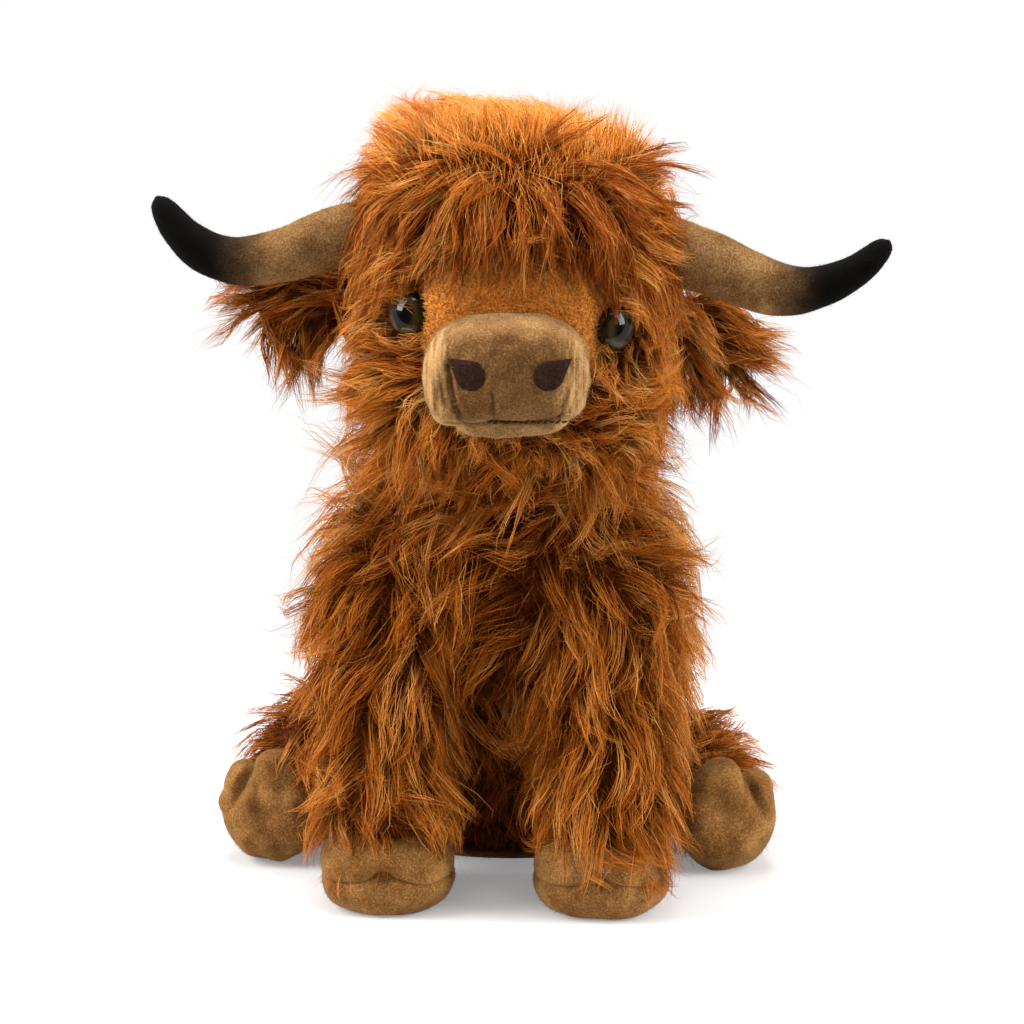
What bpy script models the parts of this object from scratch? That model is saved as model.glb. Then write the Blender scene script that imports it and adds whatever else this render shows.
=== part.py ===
"""A seated, long-haired plush cow at its real size, in metres with +Z up.

The face looks along -Y and the origin is the middle of the flat seat panel. Every soft form is a
loft: a path of centres, a superellipse round each, and half sizes that swell and taper along it.
"""

import math

import bmesh
import bpy
import numpy as np
from mathutils import Matrix, Vector

# Fits that all pieces share.
FIT_GAP = 0.0003
CUT_OVERRUN = 0.006
FLOOR_FLAT_DEPTH = 0.0005

# Facets of the lofts, as counts.
BODY_SIDES = 24
LIMB_SIDES = 16
SMALL_SIDES = 12

# Seat panel and torso. Shares: height, half width, half depth, lean.
SEAT_THICKNESS = 0.003
# Shares of the torso's outline at the pad's bottom, middle and top.
SEAT_EDGE_SHARES = (0.94, 1.0, 0.97)
TORSO_HEIGHT = 0.157
TORSO_WIDTH = 0.143
TORSO_DEPTH = 0.108
TORSO_LEAN = 0.039
TORSO_SIDE_LEAN = 0.0045
TORSO_SQUARENESS = 2.2
TORSO_TOP_CUT = 0.0094
TORSO_SHARES = (
    (0.00, 0.62, 0.62, 0.00),
    (0.07, 0.82, 0.82, 0.01),
    (0.22, 0.96, 0.96, 0.08),
    (0.48, 1.00, 1.00, 0.36),
    (0.72, 0.97, 0.97, 0.70),
    (0.86, 0.90, 0.92, 0.88),
    (0.94, 0.78, 0.83, 0.96),
    (1.00, 0.60, 0.66, 1.00),
)
TORSO_RINGS = 12

# Pellet pouch that weights the seat. Shares: height, half width and depth.
POUCH_WIDTH = 0.062
POUCH_DEPTH = 0.050
POUCH_HEIGHT = 0.024
POUCH_SHARES = (
    (0.00, 0.74),
    (0.18, 0.95),
    (0.50, 1.00),
    (0.80, 0.92),
    (1.00, 0.60),
)
POUCH_RINGS = 7

# Neck, a stuffed ball cut flat where it turns on the torso.
NECK_PIVOT_HEIGHT = 0.172
NECK_PIVOT_SETBACK = -0.042
NECK_RADIUS = 0.046

# Head. Its sizes are measured from the neck's pivot. Shares: height, half width, half depth.
HEAD_ROLL = math.radians(3.5)
HEAD_WIDTH = 0.124
HEAD_DEPTH = 0.116
HEAD_HEIGHT = 0.108
HEAD_BOTTOM = -0.008
HEAD_FORWARD = -0.007
HEAD_SQUARENESS = 2.2
HEAD_SHARES = (
    (0.00, 0.60, 0.58),
    (0.08, 0.86, 0.82),
    (0.25, 0.99, 0.96),
    (0.50, 1.00, 1.00),
    (0.75, 0.93, 0.93),
    (0.90, 0.75, 0.77),
    (1.00, 0.45, 0.50),
)
HEAD_RINGS = 11

# Crown and forelock panel, a mop that hangs over the forehead down to the brow. Shares: height, half
# width, half depth, setback.
CROWN_WIDTH = 0.114
CROWN_DEPTH = 0.118
CROWN_RISE = 0.026
CROWN_FORWARD = -0.014
CROWN_TOP_SETBACK = 0.010
CROWN_SIDE_SHIFT = -0.006
CROWN_SHARES = (
    (0.00, 0.72, 0.90, 0.00),
    (0.15, 0.90, 0.98, 0.00),
    (0.40, 1.00, 1.00, 0.10),
    (0.65, 0.94, 0.92, 0.40),
    (0.85, 0.78, 0.74, 0.80),
    (1.00, 0.46, 0.42, 1.00),
)
CROWN_RINGS = 9

# Muzzle, lofted along -Y. Shares: length, half width and half height.
MUZZLE_WIDTH = 0.057
MUZZLE_HEIGHT = 0.038
MUZZLE_MIDDLE = 0.0376
MUZZLE_ROOT = -0.046
MUZZLE_FRONT = -0.096
MUZZLE_SQUARENESS = 2.7
MUZZLE_SHARES = (
    (0.00, 0.90),
    (0.30, 0.97),
    (0.58, 1.00),
    (0.76, 0.97),
    (0.88, 0.88),
    (0.96, 0.72),
    (1.00, 0.46),
)
MUZZLE_RINGS = 9
MUZZLE_SIDES = 24

# Lower lip, the same kind of loft, tucked under the muzzle. Shares: length, half width and half height.
LIP_WIDTH = 0.040
LIP_HEIGHT = 0.016
LIP_MIDDLE = 0.0216
LIP_SETBACK = 0.0035
LIP_SHARES = (
    (0.00, 0.85),
    (0.60, 1.00),
    (0.82, 0.94),
    (0.95, 0.76),
    (1.00, 0.45),
)
LIP_RINGS = 7

# Nostril patches, felt teardrops let into the muzzle's front.
NOSTRIL_SPACING = 0.029
NOSTRIL_WIDTH = 0.0125
NOSTRIL_HEIGHT = 0.0112
NOSTRIL_DROP = 0.0006
NOSTRIL_DEPTH = 0.0016
NOSTRIL_PROUD = 0.0004
NOSTRIL_POINT_SHARE = 0.42
NOSTRIL_TURN = math.radians(42)
NOSTRIL_SIDES = 14

# Mouth thread, laid along the joint of the muzzle and the lip.
MOUTH_WIDTH = 0.037
MOUTH_HEIGHT = 0.0208
MOUTH_THREAD = 0.0014
MOUTH_POINTS = 9

# Face panel of trimmed pile, tucked under the muzzle and under the forelock.
FACE_PANEL_WIDTH = 0.052
FACE_PANEL_TUCK_UNDER_MUZZLE = 0.0086
FACE_PANEL_TUCK_UNDER_CROWN = 0.008
FACE_PANEL_THICKNESS = 0.0024
FACE_PANEL_SQUARENESS = 2.6

# Safety eyes with shank and lock washer.
EYE_SPACING = 0.072
EYE_HEIGHT = 0.050
EYE_DIAMETER = 0.016
EYE_DOME = 0.0052
EYE_SUNK = 0.0012
EYE_TURN = math.radians(33)
EYE_TO_BROW = 0.010
EYE_SHANK_DIAMETER = 0.005
EYE_SHANK_LENGTH = 0.013
WASHER_DIAMETER = 0.014
WASHER_THICKNESS = 0.002
WASHER_SETBACK = 0.006
EYE_DOME_RINGS = 4
EYE_SIDES = 14

# Horns, from the head's side out to a blunt upturned tip, measured from the neck's pivot.
HORN_REACH = 0.131
HORN_ROOT_REACH = 0.040
HORN_ROOT_DROP = 0.0245
HORN_DIP = 0.0117
HORN_DEPTH_AT_ROOT = -0.013
HORN_DEPTH_AT_TIP = -0.030
HORN_ROOT_DIAMETER = 0.0265
HORN_RINGS = 14
# Shares: length, dip below the root's height, diameter.
HORN_SHARES = (
    (0.00, 0.00, 1.00),
    (0.27, 0.22, 0.94),
    (0.44, 0.64, 0.83),
    (0.62, 0.97, 0.71),
    (0.76, 0.94, 0.62),
    (0.87, 0.46, 0.52),
    (0.94, -0.04, 0.44),
    (0.985, -0.38, 0.34),
    (1.00, -0.50, 0.20),
)

# Ears, drooping leaves on a round root that hinges in the head's side. Shares: length, half height,
# half thickness.
EAR_LENGTH = 0.056
EAR_HEIGHT = 0.041
EAR_THICKNESS = 0.015
EAR_DROOP = math.radians(20)
EAR_SAG = 0.010
EAR_ROOT_RADIUS = 0.009
EAR_ROOT_REACH = 0.0585
EAR_ROOT_HEIGHT = 0.050
EAR_ROOT_SETBACK = 0.010
EAR_RINGS = 9
EAR_SHARES = (
    (0.00, 0.20, 0.44),
    (0.16, 0.34, 0.66),
    (0.36, 0.80, 1.00),
    (0.56, 1.00, 1.00),
    (0.76, 0.86, 0.90),
    (0.92, 0.52, 0.65),
    (1.00, 0.22, 0.30),
)
LINING_LENGTH_SHARE = 0.66
LINING_HEIGHT_SHARE = 0.60
LINING_START_SHARE = 0.20
LINING_THICKNESS = 0.005

# Front legs, from the shoulder's cross axis down to the hoof. Shares: length, half width, half depth,
# forward slope.
SHOULDER_SPACING = 0.084
SHOULDER_SETBACK = -0.060
SHOULDER_HEIGHT = 0.116
SHOULDER_RADIUS = 0.0265
SHOULDER_WIDTH = 0.058
SHOULDER_SWING = math.radians(30)
FRONT_LEG_WIDTH = 0.060
FRONT_LEG_DEPTH = 0.052
FRONT_LEG_BOTTOM = 0.021
FRONT_LEG_SLOPE = 0.017
FRONT_LEG_SHARES = (
    (0.00, 0.93, 0.98, 0.00),
    (0.25, 0.97, 0.99, 0.16),
    (0.55, 1.00, 1.00, 0.55),
    (0.85, 0.97, 0.97, 0.90),
    (1.00, 0.86, 0.88, 1.00),
)
FRONT_LEG_RINGS = 7

# Front hooves, with a sole panel turned up at the front and pulled in by one stitch. Shares: height,
# half width and depth, pull of the stitch.
HOOF_SPACING = 0.080
HOOF_SETBACK = -0.0775
HOOF_WIDTH = 0.049
HOOF_DEPTH = 0.049
HOOF_HEIGHT = 0.034
HOOF_SOLE_HEIGHT = 0.0115
HOOF_PULL_SHARE = 0.16
HOOF_PULL_ANGLE = math.radians(15)
HOOF_SQUARENESS = 2.3
HOOF_SHARES = (
    (0.00, 0.74, 0.55),
    (0.10, 0.88, 0.85),
    (0.32, 1.00, 1.00),
    (0.55, 0.97, 0.45),
    (0.78, 0.82, 0.10),
    (0.92, 0.58, 0.00),
    (1.00, 0.34, 0.00),
)
HOOF_RINGS = 8
HOOF_SIDES = 22

# Rear legs, haunches that lie beside the seat. Shares: length, half size.
HIP_SPACING = 0.140
HIP_SETBACK = 0.010
HIP_RADIUS = 0.029
HIP_HEIGHT = 0.062
REAR_LEG_WIDTH = 0.054
REAR_LEG_HEIGHT = 0.060
REAR_LEG_SPREAD = 0.018
REAR_LEG_LENGTH = 0.038
REAR_LEG_SHARES = (
    (0.00, 1.00),
    (0.35, 1.02),
    (0.70, 0.94),
    (1.00, 0.74),
)
REAR_LEG_RINGS = 5

# Rear hooves, upright and cloven, with the sole panel facing forwards.
REAR_HOOF_SPACING = 0.177
REAR_HOOF_SETBACK = -0.036
REAR_HOOF_WIDTH = 0.041
REAR_HOOF_HEIGHT = 0.043
REAR_HOOF_DEPTH = 0.030
REAR_HOOF_SOLE_SETBACK = -0.003
REAR_HOOF_YAW = math.radians(14)
REAR_HOOF_FULLNESS = 0.8
TOE_ANGLE = math.radians(33)
TOE_SPREAD = math.radians(20)
TOE_SHARE = 0.16
CLEFT_ANGLE = math.radians(11)
CLEFT_SHARE = 0.34
CLEFT_GROOVE_SHARE = 0.45
CLEFT_GROOVE_WIDTH = 0.0035
REAR_HOOF_SIDES = 32
REAR_HOOF_RINGS = 4

# Tail and its tuft, hanging behind the seat. Shares: length, radius.
TAIL_ROOT_HEIGHT = 0.058
TAIL_ROOT_RADIUS = 0.0075
TAIL_OUT = 0.021
TAIL_LENGTH = 0.030
TAIL_DIAMETER = 0.014
TAIL_SHARES = ((0.00, 0.70), (0.30, 1.00), (0.75, 0.95), (1.00, 0.80))
TAIL_RINGS = 6
TUFT_LENGTH = 0.028
TUFT_DIAMETER = 0.022
TUFT_SHARES = (
    (0.00, 0.45),
    (0.25, 0.88),
    (0.50, 1.00),
    (0.80, 0.72),
    (1.00, 0.22),
)
TUFT_RINGS = 7

# Places that follow from the sizes above.
NECK_PIVOT = Vector((TORSO_SIDE_LEAN, NECK_PIVOT_SETBACK, NECK_PIVOT_HEIGHT))
TORSO_BOTTOM = SEAT_THICKNESS + FIT_GAP
TORSO_TOP = TORSO_BOTTOM + TORSO_HEIGHT
NECK_FLOOR = TORSO_TOP - TORSO_TOP_CUT
HEAD_TOP = HEAD_BOTTOM + HEAD_HEIGHT
CROWN_BOTTOM = EYE_HEIGHT + EYE_DIAMETER / 2 + EYE_TO_BROW
CROWN_TOP = HEAD_TOP + CROWN_RISE
FACE_PANEL_BOTTOM = MUZZLE_MIDDLE + MUZZLE_HEIGHT / 2 - FACE_PANEL_TUCK_UNDER_MUZZLE
FACE_PANEL_TOP = CROWN_BOTTOM + FACE_PANEL_TUCK_UNDER_CROWN
HORN_ROOT_HEIGHT = HEAD_TOP - HORN_ROOT_DROP
X_AXIS, Y_AXIS, Z_AXIS = Vector((1, 0, 0)), Vector((0, 1, 0)), Vector((0, 0, 1))

# Colours of the finishes: red, green, blue, roughness.
LONG_PILE = (0.42, 0.15, 0.045, 0.95)
CROWN_PILE = (0.50, 0.20, 0.065, 0.95)
TRIMMED_PILE = (0.40, 0.16, 0.055, 0.95)
TAN_PLUSH = (0.30, 0.19, 0.09, 0.9)
LINING_PLUSH = (0.09, 0.035, 0.015, 0.95)
NOSTRIL_FELT = (0.055, 0.025, 0.022, 0.9)
THREAD = (0.08, 0.045, 0.02, 0.7)
EYE_PLASTIC = (0.03, 0.018, 0.006, 0.08)
WASHER_PLASTIC = (0.75, 0.75, 0.72, 0.45)
PANEL_KNIT = (0.25, 0.10, 0.035, 0.9)
POUCH_CLOTH = (0.75, 0.72, 0.66, 0.85)


def clear_scene():
    for item in list(bpy.data.objects):
        bpy.data.objects.remove(item)


def finish_of(name, colour):
    """One Principled material for each finish, made the first time it is asked for."""
    made = bpy.data.materials.get(name)
    if made is None:
        made = bpy.data.materials.new(name)
        made.use_nodes = True
        shader = made.node_tree.nodes["Principled BSDF"]
        shader.inputs["Base Color"].default_value = (*colour[:3], 1)
        shader.inputs["Roughness"].default_value = colour[3]
        shader.inputs["Metallic"].default_value = 0
        made.diffuse_color = (*colour[:3], 1)
    return made


def joint_empty(name, place, turn=(0, 0, 0)):
    """The point on a joint's axis that its moving pieces hang from."""
    empty = bpy.data.objects.new(name, None)
    empty.location = place
    empty.rotation_euler = turn
    empty.empty_display_size = NECK_RADIUS
    bpy.context.scene.collection.objects.link(empty)
    return empty


def smooth_shares(table, count):
    """Rows of a share table read off a smooth curve, closer together near both ends."""
    rows = np.array(table, float)
    ease = (1 - np.cos(np.linspace(0, math.pi, count))) / 2
    along = 0.5 * ease + 0.5 * np.linspace(0, 1, count)
    slopes = np.gradient(rows, rows[:, 0], axis=0)
    left = np.clip(np.searchsorted(rows[:, 0], along, side="right") - 1, 0, len(rows) - 2)
    span = rows[left + 1, 0] - rows[left, 0]
    part = ((along - rows[left, 0]) / span)[:, None]
    span = span[:, None]
    start = rows[left] * (1 + 2 * part) * (1 - part) ** 2
    end = rows[left + 1] * part**2 * (3 - 2 * part)
    leave = slopes[left] * span * part * (1 - part) ** 2
    arrive = slopes[left + 1] * span * part**2 * (part - 1)
    return start + end + leave + arrive


def oval_ring(sides, squareness):
    """A unit superellipse: |a|^n + |b|^n = 1, as two arrays over one turn."""
    turn = np.linspace(0, 2 * math.pi, sides, endpoint=False)
    power = 2 / squareness
    across = np.sign(np.cos(turn)) * np.abs(np.cos(turn)) ** power
    along = np.sign(np.sin(turn)) * np.abs(np.sin(turn)) ** power
    return across, along


def swept_rings(path, half_a, half_b, side, squareness=2, sides=LIMB_SIDES, grow=0):
    """A superellipse round each point of a path. The first half size lies along `side`, as square to
    the path as it can be, and the second across both. `grow` moves the whole surface out."""
    path = np.array(path, float)
    tangent = np.gradient(path, axis=0)
    tangent /= np.linalg.norm(tangent, axis=1)[:, None]
    path[0] -= grow * tangent[0]
    path[-1] += grow * tangent[-1]
    axis_b = np.cross(tangent, np.array(side, float))
    axis_b /= np.linalg.norm(axis_b, axis=1)[:, None]
    axis_a = np.cross(axis_b, tangent)
    across, along = oval_ring(sides, squareness)
    half_a = np.broadcast_to(np.asarray(half_a) + grow, (len(path),))
    half_b = np.broadcast_to(np.asarray(half_b) + grow, (len(path),))
    return (
        path[:, None, :]
        + (half_a[:, None] * across)[:, :, None] * axis_a[:, None, :]
        + (half_b[:, None] * along)[:, :, None] * axis_b[:, None, :]
    )


def loft(name, rings, finish, parent=None, poles=None):
    """Joins rings of points in order and closes each end with a fan to its middle or its pole."""
    shape = bmesh.new()
    loops = [[shape.verts.new(point) for point in ring] for ring in rings]
    for lower, upper in zip(loops, loops[1:]):
        for index, corner in enumerate(lower):
            after = (index + 1) % len(lower)
            shape.faces.new((corner, lower[after], upper[after], upper[index]))
    poles = poles or [np.mean(rings[0], axis=0), np.mean(rings[-1], axis=0)]
    for end, pole in zip((loops[0], loops[-1]), poles):
        middle = shape.verts.new(pole)
        for index, corner in enumerate(end):
            shape.faces.new((corner, end[(index + 1) % len(end)], middle))
    bmesh.ops.recalc_face_normals(shape, faces=shape.faces)
    return placed(name, shape, finish, parent)


def placed(name, shape, finish, parent=None):
    """Turns a bmesh into a smooth-shaded object of one finish."""
    mesh = bpy.data.meshes.new(name)
    shape.to_mesh(mesh)
    shape.free()
    mesh.shade_smooth()
    mesh.set_sharp_from_angle(angle=math.radians(50))
    piece = bpy.data.objects.new(name, mesh)
    if finish:
        mesh.materials.append(finish_of(*finish))
    if parent:
        piece.parent = parent
    bpy.context.scene.collection.objects.link(piece)
    return piece


def cutter(piece):
    """Marks a helper that only cuts or joins, so that it isn't part of the toy."""
    piece.hide_render = True
    piece.display_type = "WIRE"
    return piece


def combine(piece, other, operation="DIFFERENCE"):
    change = piece.modifiers.new(f"{operation.lower()}_{other.name}"[:60], "BOOLEAN")
    change.operation = operation
    change.object = other
    change.solver = "EXACT"


def ball(name, middle, axis, half_length, radius, sides, finish=None, parent=None):
    """An ellipsoid turned about an axis through its middle, with its poles on that axis."""
    turn = np.linspace(0, math.pi, sides // 2 + 1)[1:-1]
    path = np.array(middle) - np.outer(half_length * np.cos(turn), np.array(axis))
    size = radius * np.sin(turn)
    side = X_AXIS if axis != X_AXIS else Y_AXIS
    rings = swept_rings(path, size, size, side, sides=sides)
    poles = [np.array(middle) + np.array(axis) * half_length * way for way in (-1, 1)]
    return loft(name, rings, finish, parent, poles)


def block(name, low, high, parent=None):
    """A box cutter between two corners."""
    shape = bmesh.new()
    bmesh.ops.create_cube(shape, size=1)
    low, high = Vector(low), Vector(high)
    bmesh.ops.scale(shape, vec=high - low, verts=shape.verts)
    bmesh.ops.translate(shape, vec=(low + high) / 2, verts=shape.verts)
    return cutter(placed(name, shape, None, parent))


def split(rings, plane_point, plane_normal, name_above, name_below, finish, parent=None):
    """Cuts one lofted form in two at a seam, each half closed and half the fit gap from it."""
    halves = []
    normal = Vector(plane_normal)
    for name, facing in ((name_above, normal), (name_below, -normal)):
        whole = loft(name, rings, finish, parent)
        shape = bmesh.new()
        shape.from_mesh(whole.data)
        bmesh.ops.bisect_plane(
            shape,
            geom=shape.verts[:] + shape.edges[:] + shape.faces[:],
            plane_co=Vector(plane_point) + facing * FIT_GAP / 2,
            plane_no=facing,
            clear_inner=True,
        )
        rim = [edge for edge in shape.edges if edge.is_boundary]
        bmesh.ops.edgeloop_fill(shape, edges=rim)
        bmesh.ops.recalc_face_normals(shape, faces=shape.faces)
        shape.to_mesh(whole.data)
        shape.free()
        whole.data.set_sharp_from_angle(angle=math.radians(50))
        halves.append(whole)
    return halves


def torso_rings(grow=0):
    rows = smooth_shares(TORSO_SHARES, TORSO_RINGS)
    height, width, depth, lean = rows.T
    path = np.stack(
        [
            TORSO_SIDE_LEAN * lean,
            -TORSO_LEAN * lean,
            TORSO_BOTTOM + TORSO_HEIGHT * height,
        ],
        axis=1,
    )
    half_width, half_depth = TORSO_WIDTH / 2 * width, TORSO_DEPTH / 2 * depth
    across, along = oval_ring(BODY_SIDES, TORSO_SQUARENESS)
    path[0, 2] -= grow
    path[-1, 2] += grow
    rings = np.repeat(path[:, None, :], BODY_SIDES, axis=1)
    rings[:, :, 0] += (half_width + grow)[:, None] * across
    rings[:, :, 1] += (half_depth + grow)[:, None] * along
    return rings


def make_seat():
    """The base gusset: a flat pad under the torso, with the torso's own outline there."""
    outline = torso_rings()[0]
    levels = (0, SEAT_THICKNESS / 2, SEAT_THICKNESS)
    rings = []
    for level, share in zip(levels, SEAT_EDGE_SHARES):
        ring = outline * share
        ring[:, 2] = level
        rings.append(ring)
    return loft("seat_panel", rings, ("panel_knit", PANEL_KNIT))


def pouch_rings(grow=0, open_below=False):
    height, size = smooth_shares(POUCH_SHARES, POUCH_RINGS).T
    if open_below:
        size = np.where(height < 0.5, 1.0, size)
    bottom = SEAT_THICKNESS + FIT_GAP
    path = np.zeros((len(height), 3))
    path[:, 2] = bottom + POUCH_HEIGHT * height
    if open_below:
        path[0, 2] -= CUT_OVERRUN
    return swept_rings(
        path, POUCH_WIDTH / 2 * size, POUCH_DEPTH / 2 * size, X_AXIS, sides=LIMB_SIDES, grow=grow
    )


def turning_gap(radius, sides, axes=1):
    """How far a faceted room stands off a faceted round end, so that the end turns in it freely."""
    return (radius + FIT_GAP) / math.cos(math.pi / sides) ** axes - radius


def make_torso():
    """The long-pile body, hollowed for the pouch, the shoulders, the hips and the tail's root."""
    torso = loft("torso", torso_rings(), ("long_pile", LONG_PILE))
    flat = block(
        "neck_seat_cut",
        (-TORSO_WIDTH, -TORSO_WIDTH, NECK_FLOOR),
        (TORSO_WIDTH, TORSO_WIDTH, TORSO_TOP + CUT_OVERRUN),
    )
    combine(torso, flat)
    room = cutter(loft("pouch_room", pouch_rings(FIT_GAP, open_below=True), None))
    combine(torso, room)
    for side in (-1, 1):
        shoulder_gap = turning_gap(SHOULDER_RADIUS, LIMB_SIDES)
        combine(torso, cutter(shoulder_ball("shoulder_room", side, shoulder_gap)))
        hip_gap = turning_gap(HIP_RADIUS, LIMB_SIDES)
        combine(torso, cutter(hip_ball("hip_room", side, hip_gap)))
    tail_gap = turning_gap(TAIL_ROOT_RADIUS, SMALL_SIDES)
    combine(torso, cutter(tail_ball("tail_room", tail_gap)))
    return torso


def torso_around(seat, swing=0, about=None):
    """The torso as a cutter for a limb, open where the limb's round end is seated. With a swing it
    is where the limb finds it when the limb has swung that far forwards about its cross axis."""
    torso = cutter(loft(f"torso_for_{seat.name}", torso_rings(FIT_GAP), None))
    combine(torso, cutter(seat))
    if swing:
        there = Matrix.Translation(about)
        torso.matrix_world = there @ Matrix.Rotation(swing, 4, "X") @ there.inverted()
    return torso


def make_pouch():
    return loft("pellet_pouch", pouch_rings(), ("pouch_cloth", POUCH_CLOTH))


def make_neck(parent):
    """A ball of stuffing about the head's pivot. It turns on the torso's flat top."""
    finish = ("long_pile", LONG_PILE)
    neck = ball("neck", (0, 0, 0), Z_AXIS, NECK_RADIUS, NECK_RADIUS, BODY_SIDES, finish, parent)
    floor = NECK_FLOOR + FIT_GAP - NECK_PIVOT_HEIGHT
    below = block(
        "neck_floor_cut",
        (-TORSO_WIDTH, -TORSO_WIDTH, -NECK_RADIUS - CUT_OVERRUN),
        (TORSO_WIDTH, TORSO_WIDTH, floor),
        parent,
    )
    combine(neck, below)
    return neck


def head_rings(grow=0):
    height, width, depth = smooth_shares(HEAD_SHARES, HEAD_RINGS).T
    path = np.zeros((len(height), 3))
    path[:, 1] = HEAD_FORWARD
    path[:, 2] = HEAD_BOTTOM + HEAD_HEIGHT * height
    return swept_rings(
        path,
        HEAD_WIDTH / 2 * width,
        HEAD_DEPTH / 2 * depth,
        X_AXIS,
        HEAD_SQUARENESS,
        BODY_SIDES,
        grow,
    )


def make_head(parent):
    """The stuffed head, with a round seat for the neck, for each ear and for each eye's shank."""
    head = loft("head", head_rings(), ("long_pile", LONG_PILE), parent)
    radius = NECK_RADIUS + turning_gap(NECK_RADIUS, BODY_SIDES, axes=2)
    socket = ball("neck_socket", (0, 0, 0), Z_AXIS, radius, radius, BODY_SIDES, None, parent)
    combine(head, cutter(socket))
    for side in (-1, 1):
        ear_gap = turning_gap(EAR_ROOT_RADIUS, SMALL_SIDES)
        combine(head, cutter(ear_ball("ear_room", side, ear_gap, parent)))
        combine(head, cutter(eye_solid("eye_room", side, parent, FIT_GAP, with_washer=True)))
    return head


def crown_rings(grow=0):
    height, width, depth, setback = smooth_shares(CROWN_SHARES, CROWN_RINGS).T
    path = np.zeros((len(height), 3))
    path[:, 0] = CROWN_SIDE_SHIFT
    path[:, 1] = CROWN_FORWARD
    path[:, 2] = CROWN_BOTTOM + (CROWN_TOP - CROWN_BOTTOM) * height
    rings = swept_rings(
        path,
        CROWN_WIDTH / 2 * width,
        CROWN_DEPTH / 2 * depth,
        X_AXIS,
        HEAD_SQUARENESS,
        BODY_SIDES,
        grow,
    )
    rings[:, :, 1] += CROWN_TOP_SETBACK * setback[:, None]
    return rings


def muzzle_rings(grow=0):
    length, size = smooth_shares(MUZZLE_SHARES, MUZZLE_RINGS).T
    path = np.zeros((len(length), 3))
    path[:, 1] = MUZZLE_ROOT + (MUZZLE_FRONT - MUZZLE_ROOT) * length
    path[:, 2] = MUZZLE_MIDDLE
    return swept_rings(
        path,
        MUZZLE_WIDTH / 2 * size,
        MUZZLE_HEIGHT / 2 * size,
        X_AXIS,
        MUZZLE_SQUARENESS,
        MUZZLE_SIDES,
        grow,
    )


def muzzle_front_at(across, height):
    """The depth of the muzzle's front surface at a place across and up it."""
    length, size = smooth_shares(MUZZLE_SHARES, 10 * MUZZLE_RINGS).T
    widest = int(np.argmax(size))
    reach = (
        np.abs(across / (MUZZLE_WIDTH / 2)) ** MUZZLE_SQUARENESS
        + np.abs((height - MUZZLE_MIDDLE) / (MUZZLE_HEIGHT / 2)) ** MUZZLE_SQUARENESS
    ) ** (1 / MUZZLE_SQUARENESS)
    at = np.interp(-reach, -size[widest:], length[widest:])
    return MUZZLE_ROOT + (MUZZLE_FRONT - MUZZLE_ROOT) * at


def lip_rings(grow=0):
    length, size = smooth_shares(LIP_SHARES, LIP_RINGS).T
    front = MUZZLE_FRONT + LIP_SETBACK
    path = np.zeros((len(length), 3))
    path[:, 1] = MUZZLE_ROOT + (front - MUZZLE_ROOT) * length
    path[:, 2] = LIP_MIDDLE
    return swept_rings(
        path,
        LIP_WIDTH / 2 * size,
        LIP_HEIGHT / 2 * size,
        X_AXIS,
        MUZZLE_SQUARENESS,
        LIMB_SIDES,
        grow,
    )


def nostril_outline(side, grow=0):
    """A teardrop: a circle drawn out to a point towards the outer, upper corner of the muzzle."""
    turn = np.linspace(0, 2 * math.pi, NOSTRIL_SIDES, endpoint=False)
    drawn = 1 + NOSTRIL_POINT_SHARE * np.maximum(0, np.cos(turn)) ** 3
    across = (NOSTRIL_WIDTH / 2 + grow) * drawn * np.cos(turn)
    up = (NOSTRIL_HEIGHT / 2 + grow) * np.sin(turn)
    tilt = NOSTRIL_TURN
    x = across * math.cos(tilt) - up * math.sin(tilt)
    z = across * math.sin(tilt) + up * math.cos(tilt)
    return side * (NOSTRIL_SPACING / 2 + x), MUZZLE_MIDDLE - NOSTRIL_DROP + z


def nostril_prism(name, side, parent, grow=0, proud=0):
    """The teardrop carried from its seat in the muzzle out through the muzzle's front."""
    x, z = nostril_outline(side, grow)
    seat = muzzle_front_at(x, z) + NOSTRIL_DEPTH + grow
    face = muzzle_front_at(x, z) - proud
    rings = [np.stack([x, seat, z], axis=1), np.stack([x, face, z], axis=1)]
    return loft(name, rings, ("nostril_felt", NOSTRIL_FELT), parent)


def mouth_curve(name, parent, grow=0):
    """A thread along the joint of the muzzle and the lip, following the muzzle's front."""
    across = np.linspace(-MOUTH_WIDTH / 2, MOUTH_WIDTH / 2, MOUTH_POINTS)
    path = np.stack(
        [
            across,
            muzzle_front_at(across, MOUTH_HEIGHT),
            np.full(MOUTH_POINTS, MOUTH_HEIGHT),
        ],
        axis=1,
    )
    return loft(
        name,
        swept_rings(path, MOUTH_THREAD / 2, MOUTH_THREAD / 2, Z_AXIS, sides=8, grow=grow),
        ("thread", THREAD),
        parent,
    )


def make_muzzle(parent):
    """The tan muzzle with its lip, nostril patches and mouth thread, each let into the next."""
    tan = ("tan_plush", TAN_PLUSH)
    head_cut = cutter(loft("head_for_muzzle", head_rings(FIT_GAP), None, parent))
    muzzle_cut = cutter(loft("muzzle_for_lip", muzzle_rings(FIT_GAP), None, parent))
    groove = cutter(mouth_curve("mouth_groove", parent, FIT_GAP))
    muzzle = loft("muzzle", muzzle_rings(), tan, parent)
    combine(muzzle, head_cut)
    combine(muzzle, groove)
    lip = loft("lower_lip", lip_rings(), tan, parent)
    combine(lip, head_cut)
    combine(lip, muzzle_cut)
    combine(lip, groove)
    mouth_curve("mouth_seam", parent)
    for side, name in ((-1, "left"), (1, "right")):
        seat = nostril_prism(f"nostril_seat_{name}", side, parent, FIT_GAP, CUT_OVERRUN)
        combine(muzzle, cutter(seat))
        nostril_prism(f"nostril_{name}", side, parent, 0, NOSTRIL_PROUD)
    return muzzle


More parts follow.
